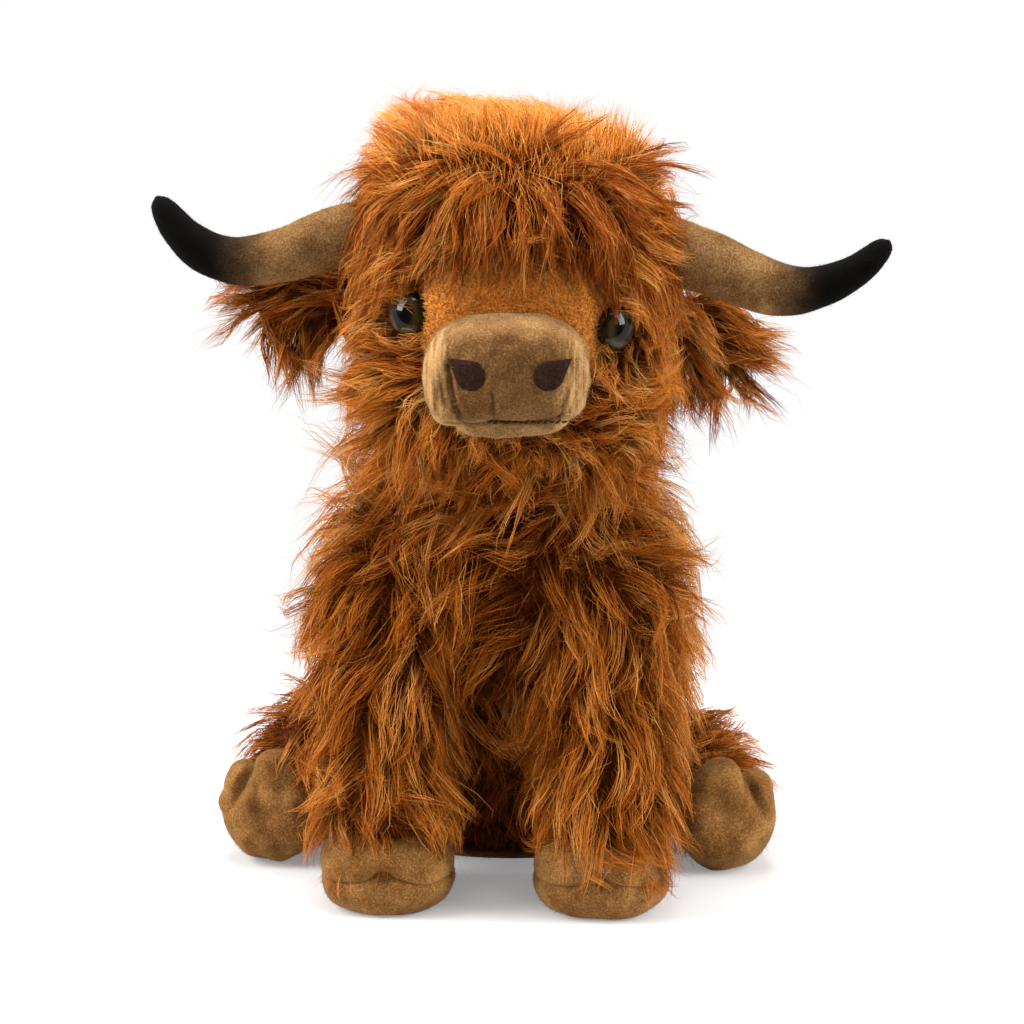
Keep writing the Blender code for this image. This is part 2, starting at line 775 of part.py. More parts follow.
def make_crown(parent):
    """The crown and forelock panel, hollow underneath where the head fills it."""
    crown = loft("crown_panel", crown_rings(), ("crown_pile", CROWN_PILE), parent)
    combine(crown, cutter(loft("head_for_crown", head_rings(FIT_GAP), None, parent)))
    return crown


def make_face_panel(parent):
    """Trimmed pile laid on the face over the muzzle, up to the forelock's edge."""
    panel = loft(
        "face_panel", head_rings(FACE_PANEL_THICKNESS), ("trimmed_pile", TRIMMED_PILE), parent
    )
    middle = (FACE_PANEL_BOTTOM + FACE_PANEL_TOP) / 2
    half = (FACE_PANEL_TOP - FACE_PANEL_BOTTOM) / 2
    path = np.array([[0, 0, middle], [0, -HEAD_DEPTH, middle]])
    window = loft(
        "face_window",
        swept_rings(path, FACE_PANEL_WIDTH / 2, half, X_AXIS, FACE_PANEL_SQUARENESS, LIMB_SIDES),
        None,
        parent,
    )
    combine(panel, cutter(window), "INTERSECT")
    combine(panel, cutter(loft("head_for_face", head_rings(FIT_GAP), None, parent)))
    combine(panel, cutter(loft("muzzle_for_face", muzzle_rings(FIT_GAP), None, parent)))
    combine(panel, cutter(loft("crown_for_face", crown_rings(FIT_GAP), None, parent)))
    return panel


def eye_place(side):
    """The eye's seat on the head's face, and the way it looks."""
    height, width, depth = smooth_shares(HEAD_SHARES, 10 * HEAD_RINGS).T
    level = (EYE_HEIGHT - HEAD_BOTTOM) / HEAD_HEIGHT
    half_width = HEAD_WIDTH / 2 * np.interp(level, height, width)
    half_depth = HEAD_DEPTH / 2 * np.interp(level, height, depth)
    across = EYE_SPACING / 2
    share = 1 - (across / half_width) ** HEAD_SQUARENESS
    front = HEAD_FORWARD - half_depth * share ** (1 / HEAD_SQUARENESS)
    looks = Vector((side * math.sin(EYE_TURN), -math.cos(EYE_TURN), 0))
    return Vector((side * across, front, EYE_HEIGHT)), looks


def turned(name, profile, place, axis, sides, finish, parent):
    """Spins a profile of (distance along the axis, radius) about an axis through a place."""
    along = Vector(axis).normalized()
    across = along.cross(Z_AXIS).normalized()
    up = across.cross(along)
    angles = np.linspace(0, 2 * math.pi, sides, endpoint=False)
    rings = []
    for distance, radius in profile:
        centre = np.array(place + along * distance)
        ring = centre + radius * (
            np.cos(angles)[:, None] * np.array(across) + np.sin(angles)[:, None] * np.array(up)
        )
        rings.append(ring)
    return loft(name, rings, finish, parent)


def eye_solid(name, side, parent, grow=0, with_washer=False):
    """A domed plastic eye on a shank. As a cutter it is grown and has room for the washer."""
    place, looks = eye_place(side)
    seat = -EYE_SUNK - grow
    shank = EYE_SHANK_DIAMETER / 2 + grow
    end = seat - EYE_SHANK_LENGTH - grow
    washer_front = -EYE_SUNK - WASHER_SETBACK + grow
    washer_back = -EYE_SUNK - WASHER_SETBACK - WASHER_THICKNESS - grow
    profile = [(end, shank)]
    if with_washer:
        washer = WASHER_DIAMETER / 2 + grow
        profile += [(washer_back, shank), (washer_back, washer)]
        profile += [(washer_front, washer), (washer_front, shank)]
    profile += [(seat, shank), (seat, EYE_DIAMETER / 2 + grow)]
    for step in range(EYE_DOME_RINGS):
        lift = step / EYE_DOME_RINGS * math.pi / 2
        radius = (EYE_DIAMETER / 2 + grow) * math.cos(lift)
        profile.append(((EYE_DOME + grow) * math.sin(lift), radius))
    return turned(name, profile, place, looks, EYE_SIDES, ("eye_plastic", EYE_PLASTIC), parent)


def make_eyes(parent):
    for side, name in ((-1, "left"), (1, "right")):
        eye_solid(f"eye_{name}", side, parent)
        place, looks = eye_place(side)
        back = place - looks * (EYE_SUNK + WASHER_SETBACK + WASHER_THICKNESS)
        disc = [(0, WASHER_DIAMETER / 2), (WASHER_THICKNESS, WASHER_DIAMETER / 2)]
        finish = ("washer_plastic", WASHER_PLASTIC)
        washer = turned(f"eye_washer_{name}", disc, back, looks, EYE_SIDES, finish, parent)
        bore = EYE_SHANK_DIAMETER / 2 + FIT_GAP
        run = [(-CUT_OVERRUN, bore), (WASHER_THICKNESS + CUT_OVERRUN, bore)]
        hole = turned(f"washer_bore_{name}", run, back, looks, EYE_SIDES, None, parent)
        combine(washer, cutter(hole))


def horn_rings(side):
    """The horn's centre runs out from the head's side, dips, and turns up to a blunt tip."""
    length, dip, size = smooth_shares(HORN_SHARES, HORN_RINGS).T
    path = np.stack(
        [
            side * (HORN_ROOT_REACH + (HORN_REACH - HORN_ROOT_REACH) * length),
            HORN_DEPTH_AT_ROOT + (HORN_DEPTH_AT_TIP - HORN_DEPTH_AT_ROOT) * length,
            HORN_ROOT_HEIGHT - HORN_DIP * dip,
        ],
        axis=1,
    )
    radius = HORN_ROOT_DIAMETER / 2 * size
    return swept_rings(path, radius, radius, Y_AXIS, sides=SMALL_SIDES)


def make_horns(parent):
    head_cut = cutter(loft("head_for_horns", head_rings(FIT_GAP), None, parent))
    crown_cut = cutter(loft("crown_for_horns", crown_rings(FIT_GAP), None, parent))
    for side, name in ((-1, "left"), (1, "right")):
        horn = loft(f"horn_{name}", horn_rings(side), ("tan_plush", TAN_PLUSH), parent)
        combine(horn, head_cut)
        combine(horn, crown_cut)


def ear_root(side):
    return Vector((side * EAR_ROOT_REACH, EAR_ROOT_SETBACK, EAR_ROOT_HEIGHT))


def ear_ball(name, side, grow, parent):
    radius = EAR_ROOT_RADIUS + grow
    return ball(name, ear_root(side), Y_AXIS, radius, radius, SMALL_SIDES, None, parent)


def leaf_rings(side, length, height, thickness, start, forward, grow=0):
    """A leaf that runs out from the ear's root and droops, lofted along its length."""
    rows = smooth_shares(EAR_SHARES, EAR_RINGS)
    along, tall, thick = rows.T
    out = start + length * along
    sag = EAR_SAG * (out / EAR_LENGTH) ** 2
    path = np.stack(
        [
            side * out * math.cos(EAR_DROOP),
            np.full_like(out, forward),
            -out * math.sin(EAR_DROOP) - sag,
        ],
        axis=1,
    )
    return swept_rings(path, thickness / 2 * thick, height / 2 * tall, Y_AXIS, 2, SMALL_SIDES, grow)


def make_ears(parent):
    """Each ear hinges on its round root. The short-pile lining lies in the ear's front face."""
    for side, name in ((-1, "left"), (1, "right")):
        axis = joint_empty(f"ear_axis_{name}", ear_root(side))
        axis.parent = parent
        outer = leaf_rings(
            side, EAR_LENGTH - EAR_ROOT_RADIUS / 2, EAR_HEIGHT, EAR_THICKNESS, EAR_ROOT_RADIUS / 2, 0
        )
        ear = loft(f"ear_{name}", outer, ("long_pile", LONG_PILE), axis)
        radius = EAR_ROOT_RADIUS
        root = ball(f"ear_root_{name}", (0, 0, 0), Y_AXIS, radius, radius, SMALL_SIDES, None, axis)
        combine(ear, cutter(root), "UNION")
        inner = (
            side,
            EAR_LENGTH * LINING_LENGTH_SHARE,
            EAR_HEIGHT * LINING_HEIGHT_SHARE,
            LINING_THICKNESS,
            EAR_LENGTH * LINING_START_SHARE,
            -EAR_THICKNESS / 2,
        )
        room = loft(f"lining_room_{name}", leaf_rings(*inner, grow=FIT_GAP), None, axis)
        combine(ear, cutter(room))
        finish = ("lining_plush", LINING_PLUSH)
        loft(f"ear_lining_{name}", leaf_rings(*inner), finish, axis)


def shoulder_place(side):
    return Vector((side * SHOULDER_SPACING / 2, SHOULDER_SETBACK, SHOULDER_HEIGHT))


def shoulder_ball(name, side, grow, parent=None):
    """A barrel of stuffing, round about the shoulder's cross axis."""
    middle = (0, 0, 0) if parent else shoulder_place(side)
    half_width = SHOULDER_WIDTH / 2 + grow
    return ball(name, middle, X_AXIS, half_width, SHOULDER_RADIUS + grow, LIMB_SIDES, None, parent)


def front_leg_rings():
    length, width, depth, slope = smooth_shares(FRONT_LEG_SHARES, FRONT_LEG_RINGS).T
    drop = SHOULDER_HEIGHT - FRONT_LEG_BOTTOM
    path = np.stack([np.zeros_like(length), -FRONT_LEG_SLOPE * slope, -drop * length], axis=1)
    return swept_rings(
        path, FRONT_LEG_WIDTH / 2 * width, FRONT_LEG_DEPTH / 2 * depth, X_AXIS, 2.1, LIMB_SIDES
    )


def hoof_rings(middle, grow=0):
    """A rounded foot. One stitch pulls its front in, deepest where the sole panel meets the upper."""
    height, size, pull = smooth_shares(HOOF_SHARES, HOOF_RINGS).T
    across, along = oval_ring(HOOF_SIDES, HOOF_SQUARENESS)
    turn = np.linspace(0, 2 * math.pi, HOOF_SIDES, endpoint=False)
    from_front = np.abs(turn - 1.5 * math.pi)
    pulled = np.exp(-((from_front / HOOF_PULL_ANGLE) ** 2))
    inward = 1 - HOOF_PULL_SHARE * pull[:, None] * pulled
    levels = HOOF_HEIGHT * height
    levels[0] -= grow
    levels[-1] += grow
    rings = np.zeros((HOOF_RINGS, HOOF_SIDES, 3))
    rings[:, :, 0] = middle[0] + (HOOF_WIDTH / 2 * size[:, None] * inward + grow) * across
    rings[:, :, 1] = middle[1] + (HOOF_DEPTH / 2 * size[:, None] * inward + grow) * along
    rings[:, :, 2] = middle[2] + levels[:, None]
    return rings


def make_front_legs():
    for side, name in ((-1, "left"), (1, "right")):
        axis = joint_empty(f"shoulder_axis_{name}", shoulder_place(side))
        leg = loft(f"front_leg_{name}", front_leg_rings(), ("long_pile", LONG_PILE), axis)
        combine(leg, cutter(shoulder_ball(f"shoulder_{name}", side, 0, axis)), "UNION")
        for swing in (0, SHOULDER_SWING):
            seat = shoulder_ball(f"shoulder_seat_{name}", side, FIT_GAP / 2)
            combine(leg, torso_around(seat, swing, shoulder_place(side)))
        spot = Vector((side * HOOF_SPACING / 2, HOOF_SETBACK, 0)) - shoulder_place(side)
        hoof_cut = cutter(loft(f"hoof_for_leg_{name}", hoof_rings(spot, FIT_GAP), None, axis))
        combine(leg, hoof_cut)
        split(
            hoof_rings(spot),
            spot + Z_AXIS * HOOF_SOLE_HEIGHT,
            Z_AXIS,
            f"front_hoof_{name}",
            f"front_sole_{name}",
            ("tan_plush", TAN_PLUSH),
            axis,
        )


def hip_place(side):
    return Vector((side * HIP_SPACING / 2, HIP_SETBACK, HIP_HEIGHT / 2 - FLOOR_FLAT_DEPTH))


def hip_ball(name, side, grow, parent=None):
    """A haunch of stuffing, round about the hip's upright axis."""
    middle = (0, 0, 0) if parent else hip_place(side)
    half_height = HIP_HEIGHT / 2 + grow
    return ball(name, middle, Z_AXIS, half_height, HIP_RADIUS + grow, LIMB_SIDES, None, parent)


def rear_leg_rings(side):
    length, size = smooth_shares(REAR_LEG_SHARES, REAR_LEG_RINGS).T
    low = FLOOR_FLAT_DEPTH + hip_place(side).z
    half_height = REAR_LEG_HEIGHT / 2 * size
    path = np.stack(
        [side * REAR_LEG_SPREAD * length, -REAR_LEG_LENGTH * length, half_height - low], axis=1
    )
    return swept_rings(path, REAR_LEG_WIDTH / 2 * size, half_height, X_AXIS, 2, LIMB_SIDES)


def rear_hoof_rings(side, middle, grow=0):
    """An upright cloven foot: a heart-shaped outline, blown up like a cushion between its seams.
    The rings run from the back's middle out to the rim and in again to the front's middle."""
    turn = np.linspace(0, 2 * math.pi, REAR_HOOF_SIDES, endpoint=False)
    from_top = (turn + math.pi / 2) % (2 * math.pi) - math.pi
    toes = np.exp(-(((from_top - TOE_ANGLE) / TOE_SPREAD) ** 2))
    toes = toes + np.exp(-(((from_top + TOE_ANGLE) / TOE_SPREAD) ** 2))
    cleft = np.exp(-((from_top / CLEFT_ANGLE) ** 2))
    outline = 1 + TOE_SHARE * toes - CLEFT_SHARE * cleft
    u = (REAR_HOOF_WIDTH / 2 + grow) * outline * np.sin(from_top)
    v = (REAR_HOOF_HEIGHT / 2 + grow) * outline * np.cos(from_top)
    steps = np.arange(1, 2 * REAR_HOOF_RINGS) / (2 * REAR_HOOF_RINGS) * math.pi
    rings = []
    for step in steps:
        out = math.sin(step) ** REAR_HOOF_FULLNESS
        groove = CLEFT_GROOVE_SHARE * np.exp(-((u * out / CLEFT_GROOVE_WIDTH) ** 2))
        groove = groove * np.clip(v * out / (REAR_HOOF_HEIGHT / 2), 0, 1)
        thick = (REAR_HOOF_DEPTH / 2 * (1 - groove) + grow) * math.cos(step)
        x, y, z = u * out, thick, v * out
        yaw = side * REAR_HOOF_YAW
        ring = np.stack(
            [
                middle[0] + x * math.cos(yaw) - y * math.sin(yaw),
                middle[1] + x * math.sin(yaw) + y * math.cos(yaw),
                middle[2] + z,
            ],
            axis=1,
        )
        rings.append(ring)
    return rings


def make_rear_legs():
    for side, name in ((-1, "left"), (1, "right")):
        hip = hip_place(side)
        axis = joint_empty(f"hip_axis_{name}", hip)
        floor = block(
            f"floor_{name}",
            (-TORSO_WIDTH, -TORSO_WIDTH, -HIP_HEIGHT - hip.z),
            (TORSO_WIDTH, TORSO_WIDTH, -hip.z),
            axis,
        )
        leg = loft(f"rear_leg_{name}", rear_leg_rings(side), ("long_pile", LONG_PILE), axis)
        combine(leg, cutter(hip_ball(f"hip_{name}", side, 0, axis)), "UNION")
        combine(leg, torso_around(hip_ball(f"hip_seat_{name}", side, FIT_GAP / 2)))
        foot = Vector(
            (
                side * REAR_HOOF_SPACING / 2,
                REAR_HOOF_SETBACK,
                REAR_HOOF_HEIGHT / 2 - FLOOR_FLAT_DEPTH,
            )
        )
        spot = foot - hip
        room = loft(f"hoof_room_{name}", rear_hoof_rings(side, spot, FIT_GAP), None, axis)
        combine(leg, cutter(room))
        combine(leg, floor)
        yaw = side * REAR_HOOF_YAW
        facing = Vector((-math.sin(yaw), math.cos(yaw), 0))
        halves = split(
            rear_hoof_rings(side, spot),
            spot + facing * REAR_HOOF_SOLE_SETBACK,
            facing,
            f"rear_hoof_{name}",
            f"rear_sole_{name}",
            ("tan_plush", TAN_PLUSH),
            axis,
        )
        for half in halves:
            combine(half, floor)


def tail_place():
    """The tail's root, on the middle of the torso's back at its own height."""
    rings = torso_rings()
    back = rings[:, :, 1].max(axis=1)
    levels = rings[:, 0, 2]
    return Vector((0, float(np.interp(TAIL_ROOT_HEIGHT, levels, back)), TAIL_ROOT_HEIGHT))


def tail_ball(name, grow, parent=None):
    middle = (0, 0, 0) if parent else tail_place()
    radius = TAIL_ROOT_RADIUS + grow
    return ball(name, middle, Y_AXIS, radius, radius, SMALL_SIDES, None, parent)


def make_tail():
    """A short furry tail that hangs clear of the back, and its long tuft just above the floor."""
    axis = joint_empty("tail_axis", tail_place())
    length, size = smooth_shares(TAIL_SHARES, TAIL_RINGS).T
    out = TAIL_OUT * np.sin(length * math.pi / 2)
    drop = TAIL_LENGTH * length**1.5
    path = np.stack([np.zeros_like(out), out, -drop], axis=1)
    radius = TAIL_DIAMETER / 2 * size
    rings = swept_rings(path, radius, radius, X_AXIS, sides=SMALL_SIDES)
    tail = loft("tail", rings, ("long_pile", LONG_PILE), axis)
    combine(tail, cutter(tail_ball("tail_root", 0, axis)), "UNION")
    finish = ("long_pile", LONG_PILE)
    loft("tail_tuft", tuft_rings(), finish, axis)
    combine(tail, cutter(loft("tuft_for_tail", tuft_rings(FIT_GAP), None, axis)))


def tuft_rings(grow=0):
    length, size = smooth_shares(TUFT_SHARES, TUFT_RINGS).T
    path = np.zeros((len(length), 3))
    path[:, 1] = TAIL_OUT
    path[:, 2] = -TAIL_LENGTH - TUFT_LENGTH * length
    radius = TUFT_DIAMETER / 2 * size
    return swept_rings(path, radius, radius, X_AXIS, sides=SMALL_SIDES, grow=grow)


def make_cow():
    clear_scene()
    neck_axis = joint_empty("neck_axis", NECK_PIVOT)
    head_axis = joint_empty("head_axis", NECK_PIVOT, (0, HEAD_ROLL, 0))
    make_seat()
    make_pouch()
    make_torso()
    make_neck(neck_axis)
    make_head(head_axis)
    make_crown(head_axis)
    make_face_panel(head_axis)
    make_muzzle(head_axis)
    make_eyes(head_axis)
    make_horns(head_axis)
    make_ears(head_axis)
    make_front_legs()
    make_rear_legs()
    make_tail()


make_cow()
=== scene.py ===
"""The looks of a seated, long-haired plush cow: its pile, its plush, its eyes and its studio."""

import math

import bpy
import numpy as np
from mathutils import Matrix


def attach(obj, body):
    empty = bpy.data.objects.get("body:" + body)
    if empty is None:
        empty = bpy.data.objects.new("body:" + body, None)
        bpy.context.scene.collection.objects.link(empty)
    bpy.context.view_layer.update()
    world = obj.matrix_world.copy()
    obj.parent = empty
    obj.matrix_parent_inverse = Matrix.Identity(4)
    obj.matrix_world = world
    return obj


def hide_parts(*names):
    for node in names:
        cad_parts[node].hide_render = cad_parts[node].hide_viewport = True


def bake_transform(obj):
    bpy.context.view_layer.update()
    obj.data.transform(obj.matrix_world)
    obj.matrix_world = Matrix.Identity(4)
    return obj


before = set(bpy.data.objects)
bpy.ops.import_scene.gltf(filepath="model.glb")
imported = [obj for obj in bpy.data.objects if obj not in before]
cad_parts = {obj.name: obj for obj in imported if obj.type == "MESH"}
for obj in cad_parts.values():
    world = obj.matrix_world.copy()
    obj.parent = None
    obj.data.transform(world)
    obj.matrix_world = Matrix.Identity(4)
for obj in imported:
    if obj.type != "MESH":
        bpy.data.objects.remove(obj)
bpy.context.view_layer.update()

# The torso's cloth. The real one is a stuffed sack of knitted backing, sewn from four panels, and it
# shows only where the pile parts. It is drawn here inside the pile, 6.5 mm inside the solid form.
PILE_DEPTH = 0.0065
TORSO_BOTTOM, TORSO_HEIGHT = 0.0033, 0.151
TORSO_WIDTH, TORSO_DEPTH = 0.143, 0.108
TORSO_LEAN, TORSO_SIDE_LEAN = 0.039, 0.0045


def curve_through(table, count):
    """Rows read off a table whose first column runs from 0 to 1: between two rows a cubic joins them,
    with the slope at each row taken from its neighbours. Count places, closer together at both ends."""
    rows = np.array(table, float)
    turn = (1 - np.cos(np.linspace(0, math.pi, count))) / 2
    along = (turn + np.linspace(0, 1, count)) / 2
    slopes = np.gradient(rows, rows[:, 0], axis=0)
    left = np.clip(np.searchsorted(rows[:, 0], along, side="right") - 1, 0, len(rows) - 2)
    span = (rows[left + 1, 0] - rows[left, 0])[:, None]
    part = (along[:, None] - rows[left, :1]) / span
    return (
        rows[left] * (1 + 2 * part) * (1 - part) ** 2
        + rows[left + 1] * part**2 * (3 - 2 * part)
        + slopes[left] * span * part * (1 - part) ** 2
        + slopes[left + 1] * span * part**2 * (part - 1)
    )


def unit(vectors):
    """v / |v|."""
    return vectors / np.maximum(np.linalg.norm(vectors, axis=-1, keepdims=True), 1e-9)


def squared(turn, power):
    """Places c, s on a superellipse, |c|^n + |s|^n = 1: a circle for n = 2, and squarer above it."""
    c, s = np.cos(turn), np.sin(turn)
    return np.sign(c) * np.abs(c) ** (2 / power), np.sign(s) * np.abs(s) ** (2 / power)


def tube_grid(path, half_a, half_b, side, around=72, square=2.0):
    """P(u, v) = path(v) + a(v) c(u) A(v) + b(v) s(u) B(v), where c, s lie on a superellipse, A is
    `side` made square to the path and B is square to both. Rows v by columns u by 3."""
    path = np.asarray(path, float)
    tangent = unit(np.gradient(path, axis=0))
    across = unit(np.cross(tangent, np.asarray(side, float)))
    aside = np.cross(across, tangent)
    c, s = squared(np.linspace(0, 2 * math.pi, around, endpoint=False), square)
    size_a, size_b = np.broadcast_to(half_a, len(path)), np.broadcast_to(half_b, len(path))
    return (
        path[:, None]
        + (size_a[:, None] * c)[..., None] * aside[:, None]
        + (size_b[:, None] * s)[..., None] * across[:, None]
    )


def normals_of(grid):
    """The unit normal at each grid point: the cross product of the differences along u and v, turned
    away from the grid's middle."""
    along_u = np.roll(grid, -1, axis=1) - np.roll(grid, 1, axis=1)
    along_v = np.gradient(grid, axis=0)
    normal = unit(np.cross(along_u, along_v))
    outward = grid - grid.mean(axis=1, keepdims=True)
    return normal * np.sign((normal * outward).sum(axis=(1, 2), keepdims=True) + 1e-12)


def add_mesh(name, points, faces, finish, uv=None, smooth=True):
    """Puts points and faces, an array of corners with -1 for a triangle's missing fourth, in a mesh."""
    mesh = bpy.data.meshes.new(name)
    faces = np.asarray(faces)
    used = faces >= 0
    sizes = used.sum(axis=1)
    corners = faces[used]
    mesh.vertices.add(len(points))
    mesh.vertices.foreach_set("co", np.asarray(points, np.float32).ravel())
    mesh.loops.add(len(corners))
    mesh.loops.foreach_set("vertex_index", corners.astype(np.int32))
    mesh.polygons.add(len(faces))
    starts = np.concatenate([[0], np.cumsum(sizes)[:-1]])
    mesh.polygons.foreach_set("loop_start", starts.astype(np.int32))
    if uv is not None:
        layer = mesh.uv_layers.new(name="OFBake")
        layer.data.foreach_set("uv", uv[used].astype(np.float32).ravel())
    mesh.update(calc_edges=True)
    if smooth:
        mesh.shade_smooth()
    mesh.materials.append(finish)
    piece = bpy.data.objects.new(name, mesh)
    bpy.context.scene.collection.objects.link(piece)
    return piece


def closed_grid(grid):
    """Points and faces of a grid that wraps round in u and ends in one pole at each end of v."""
    rows, columns = grid.shape[:2]
    points = np.concatenate([grid.reshape(-1, 3), grid[0].mean(0)[None], grid[-1].mean(0)[None]])
    v, u = np.meshgrid(np.arange(rows - 1), np.arange(columns), indexing="ij")
    after = (u + 1) % columns
    quads = np.stack(
        [v * columns + u, v * columns + after, (v + 1) * columns + after, (v + 1) * columns + u],
        axis=-1,
    ).reshape(-1, 4)
    u = np.arange(columns)
    after = (u + 1) % columns
    none = np.full(columns, -1)
    top = (rows - 1) * columns
    first = np.stack([after, u, np.full(columns, rows * columns), none], axis=1)
    last = np.stack([top + u, top + after, np.full(columns, rows * columns + 1), none], axis=1)
    faces = np.concatenate([quads, first, last])
    normal = np.cross(points[quads[:, 2]] - points[quads[:, 0]], points[quads[:, 3]] - points[quads[:, 1]])
    middle = points[quads].mean(axis=1)
    outward = middle - grid.reshape(-1, 3).mean(axis=0)
    if (normal * outward).sum() < 0:
        flipped = faces[:, ::-1].copy()
        triangles = faces[:, 3] < 0
        flipped[triangles] = np.roll(flipped[triangles], -1, axis=1)
        faces = flipped
    return points, faces


class Wave:
    """A shader socket with arithmetic: a + b, a * b and so on add Math nodes to its tree."""

    def __init__(self, tree, socket):
        self.tree, self.socket = tree, socket

    def math(self, operation, *others, clamp=False):
        node = self.tree.nodes.new("ShaderNodeMath")
        node.operation, node.use_clamp = operation, clamp
        for place, value in zip(node.inputs, (self, *others)):
            if isinstance(value, Wave):
                self.tree.links.new(value.socket, place)
            else:
                place.default_value = value
        return Wave(self.tree, node.outputs[0])

    def __add__(self, other):
        return self.math("ADD", other)

    def __mul__(self, other):
        return self.math("MULTIPLY", other)

    def __sub__(self, other):
        return self.math("SUBTRACT", other)

    def __rsub__(self, other):
        return (self * -1.0).math("ADD", other)

    def __pow__(self, other):
        return self.math("POWER", other)

    def held(self):
        """The value kept from 0 to 1."""
        return self.math("MINIMUM", 1.0).math("MAXIMUM", 0.0)

    __radd__, __rmul__ = __add__, __mul__


class Finish:
    """A material whose nodes are made one by one: node() takes a type, its settings and its inputs."""

    def __init__(self, name, **constants):
        self.material = bpy.data.materials.new(name)
        self.material.use_nodes = True
        self.tree = self.material.node_tree
        self.shader = self.tree.nodes["Principled BSDF"]
        for socket, value in constants.items():
            self.shader.inputs[socket.replace("_", " ")].default_value = value

    def node(self, kind, settings=None, output=0, **inputs):
        node = self.tree.nodes.new("ShaderNode" + kind)
        for key, value in (settings or {}).items():
            if key == "stops":
                ramp = node.color_ramp
                while len(ramp.elements) < len(value):
                    ramp.elements.new(0.5)
                for element, (place, colour) in zip(ramp.elements, value):
                    element.position, element.color = place, (*colour, 1)
            else:
                setattr(node, key, value)
        for key, value in inputs.items():
            place = node.inputs[int(key[1:])] if key[1:].isdigit() else node.inputs[key.replace("_", " ")]
            if isinstance(value, Wave):
                self.tree.links.new(value.socket, place)
            else:
                place.default_value = value
        return Wave(self.tree, node.outputs[output])

    def feed(self, **sockets):
        for socket, wave in sockets.items():
            self.tree.links.new(wave.socket, self.shader.inputs[socket.replace("_", " ")])
        return self.material


def backing_finish(name, colour):
    """Knitted backing cloth seen between the hairs, in the colour given and darker in patches, with a fine
    uneven pile.
    """
    finish = Finish(name, Roughness=0.95, Specular_IOR_Level=0.1)
    place = finish.node("TexCoord", output=3)
    pile = finish.node("TexNoise", Vector=place, Scale=900.0, Detail=3.0)
    patches = finish.node("TexNoise", Vector=place, Scale=45.0, Detail=2.0)
    tone = pile * 0.6 + patches * 0.4
    dark, light = [c * 0.45 for c in colour], colour
    paint = finish.node("ValToRGB", {"stops": ((0.3, dark), (0.7, light))}, Fac=tone)
    bump = finish.node("Bump", Strength=0.5, Distance=0.0006, Height=pile)
    return finish.feed(Base_Color=paint, Normal=bump)


def dressed(piece, body, slot, *nodes, fill=None):
    """Names the body that carries a piece and hides the solids it stands for. The slot and fill arguments are
    not used.
    """
    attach(piece, body)
    if nodes:
        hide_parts(*nodes)


# Shares: height, half width, half depth, lean.
torso_rows = curve_through(
    (
        (0.00, 0.10, 0.10, 0.00),
        (0.02, 0.52, 0.50, 0.00),
        (0.10, 0.80, 0.78, 0.02),
        (0.24, 0.96, 0.94, 0.09),
        (0.48, 1.00, 1.00, 0.36),
        (0.72, 0.98, 0.98, 0.70),
        (0.86, 0.92, 0.92, 0.88),
        (0.94, 0.78, 0.80, 0.96),
        (0.985, 0.50, 0.52, 1.00),
        (1.00, 0.10, 0.10, 1.00),
    ),
    48,
)
height, width, depth, lean = torso_rows.T
torso_path = np.stack(
    [TORSO_SIDE_LEAN * lean, -TORSO_LEAN * lean, TORSO_BOTTOM + TORSO_HEIGHT * height],
    axis=1,
)
torso_skin = tube_grid(
    torso_path,
    (TORSO_WIDTH / 2 - PILE_DEPTH) * width,
    (TORSO_DEPTH / 2 - PILE_DEPTH) * depth,
    (1, 0, 0),
    square=2.2,
)
# The backing's dark colour is painted shade: it stands for the shade deep between the hairs, so that gaps in
# the pile read as shadowed fur. The neck, head, legs and tail wear it too.
backing = backing_finish("ginger_backing", (0.10, 0.018, 0.001))
torso_cloth = add_mesh("torso_cloth", *closed_grid(torso_skin), backing)
dressed(torso_cloth, "torso", "long_pile", "torso", fill=0.8)

# The torso's long pile. Real faux fur is knitted in tufts whose fibres cling into wavy locks, lie down
# the way they were brushed and taper to a fine tip. Each hair here is a thin closed cone of 22
# triangles, or of 16 where it shows less, and short straight fibres fill in under them.
HAIR_RINGS = np.array([0.0, 0.30, 0.58, 0.82, 1.0])
BACK_RINGS = np.array([0.0, 0.42, 0.78, 1.0])


def drifting(points, wavelength, seed):
    """A smooth vector field: the sum of six sine waves of random direction and phase for each axis,
    with wavelengths from one half to one and a half times the one given."""
    rng = np.random.default_rng(seed)
    ways = unit(rng.normal(size=(6, 3, 3)))
    lengths = wavelength * rng.uniform(0.5, 1.5, (6, 3))
    phases = rng.uniform(0, 2 * math.pi, (6, 3))
    turns = np.einsum("...k,mjk->...mj", points, ways / lengths[..., None]) * 2 * math.pi
    return np.sin(turns + phases).sum(axis=-2) / 2.2


def sown(grid, count, rng, density=None):
    """Random places on a grid, with the normal there. A cell is drawn with a chance equal to its area
    times the density at its middle, and the place inside it is even in both directions."""
    corners = grid[:-1], np.roll(grid[:-1], -1, 1), np.roll(grid[1:], -1, 1), grid[1:]
    area = np.linalg.norm(np.cross(corners[2] - corners[0], corners[3] - corners[1]), axis=-1)
    middle = sum(corners) / 4
    chance = area if density is None else area * density(middle)
    total = np.cumsum(chance.ravel())
    drawn = np.searchsorted(total, (np.arange(count) + rng.random(count)) / count * total[-1])
    v, u = np.unravel_index(np.minimum(drawn, chance.size - 1), chance.shape)
    a, b = rng.random((2, count, 1))

    def blended(field):
        low = field[v, u] * (1 - a) + field[v, (u + 1) % grid.shape[1]] * a
        high = field[v + 1, u] * (1 - a) + field[v + 1, (u + 1) % grid.shape[1]] * a
        return low * (1 - b) + high * b

    return blended(grid), unit(blended(normals_of(grid)))


def nearest(points, others):
    """For each point, the index of the other that is closest: the least of |q|^2 - 2 p.q."""
    square = (others**2).sum(axis=1)
    blocks = np.array_split(points, max(1, len(points) * len(others) // 8_000_000))
    return np.concatenate([np.argmin(square - 2 * block @ others.T, axis=1) for block in blocks])


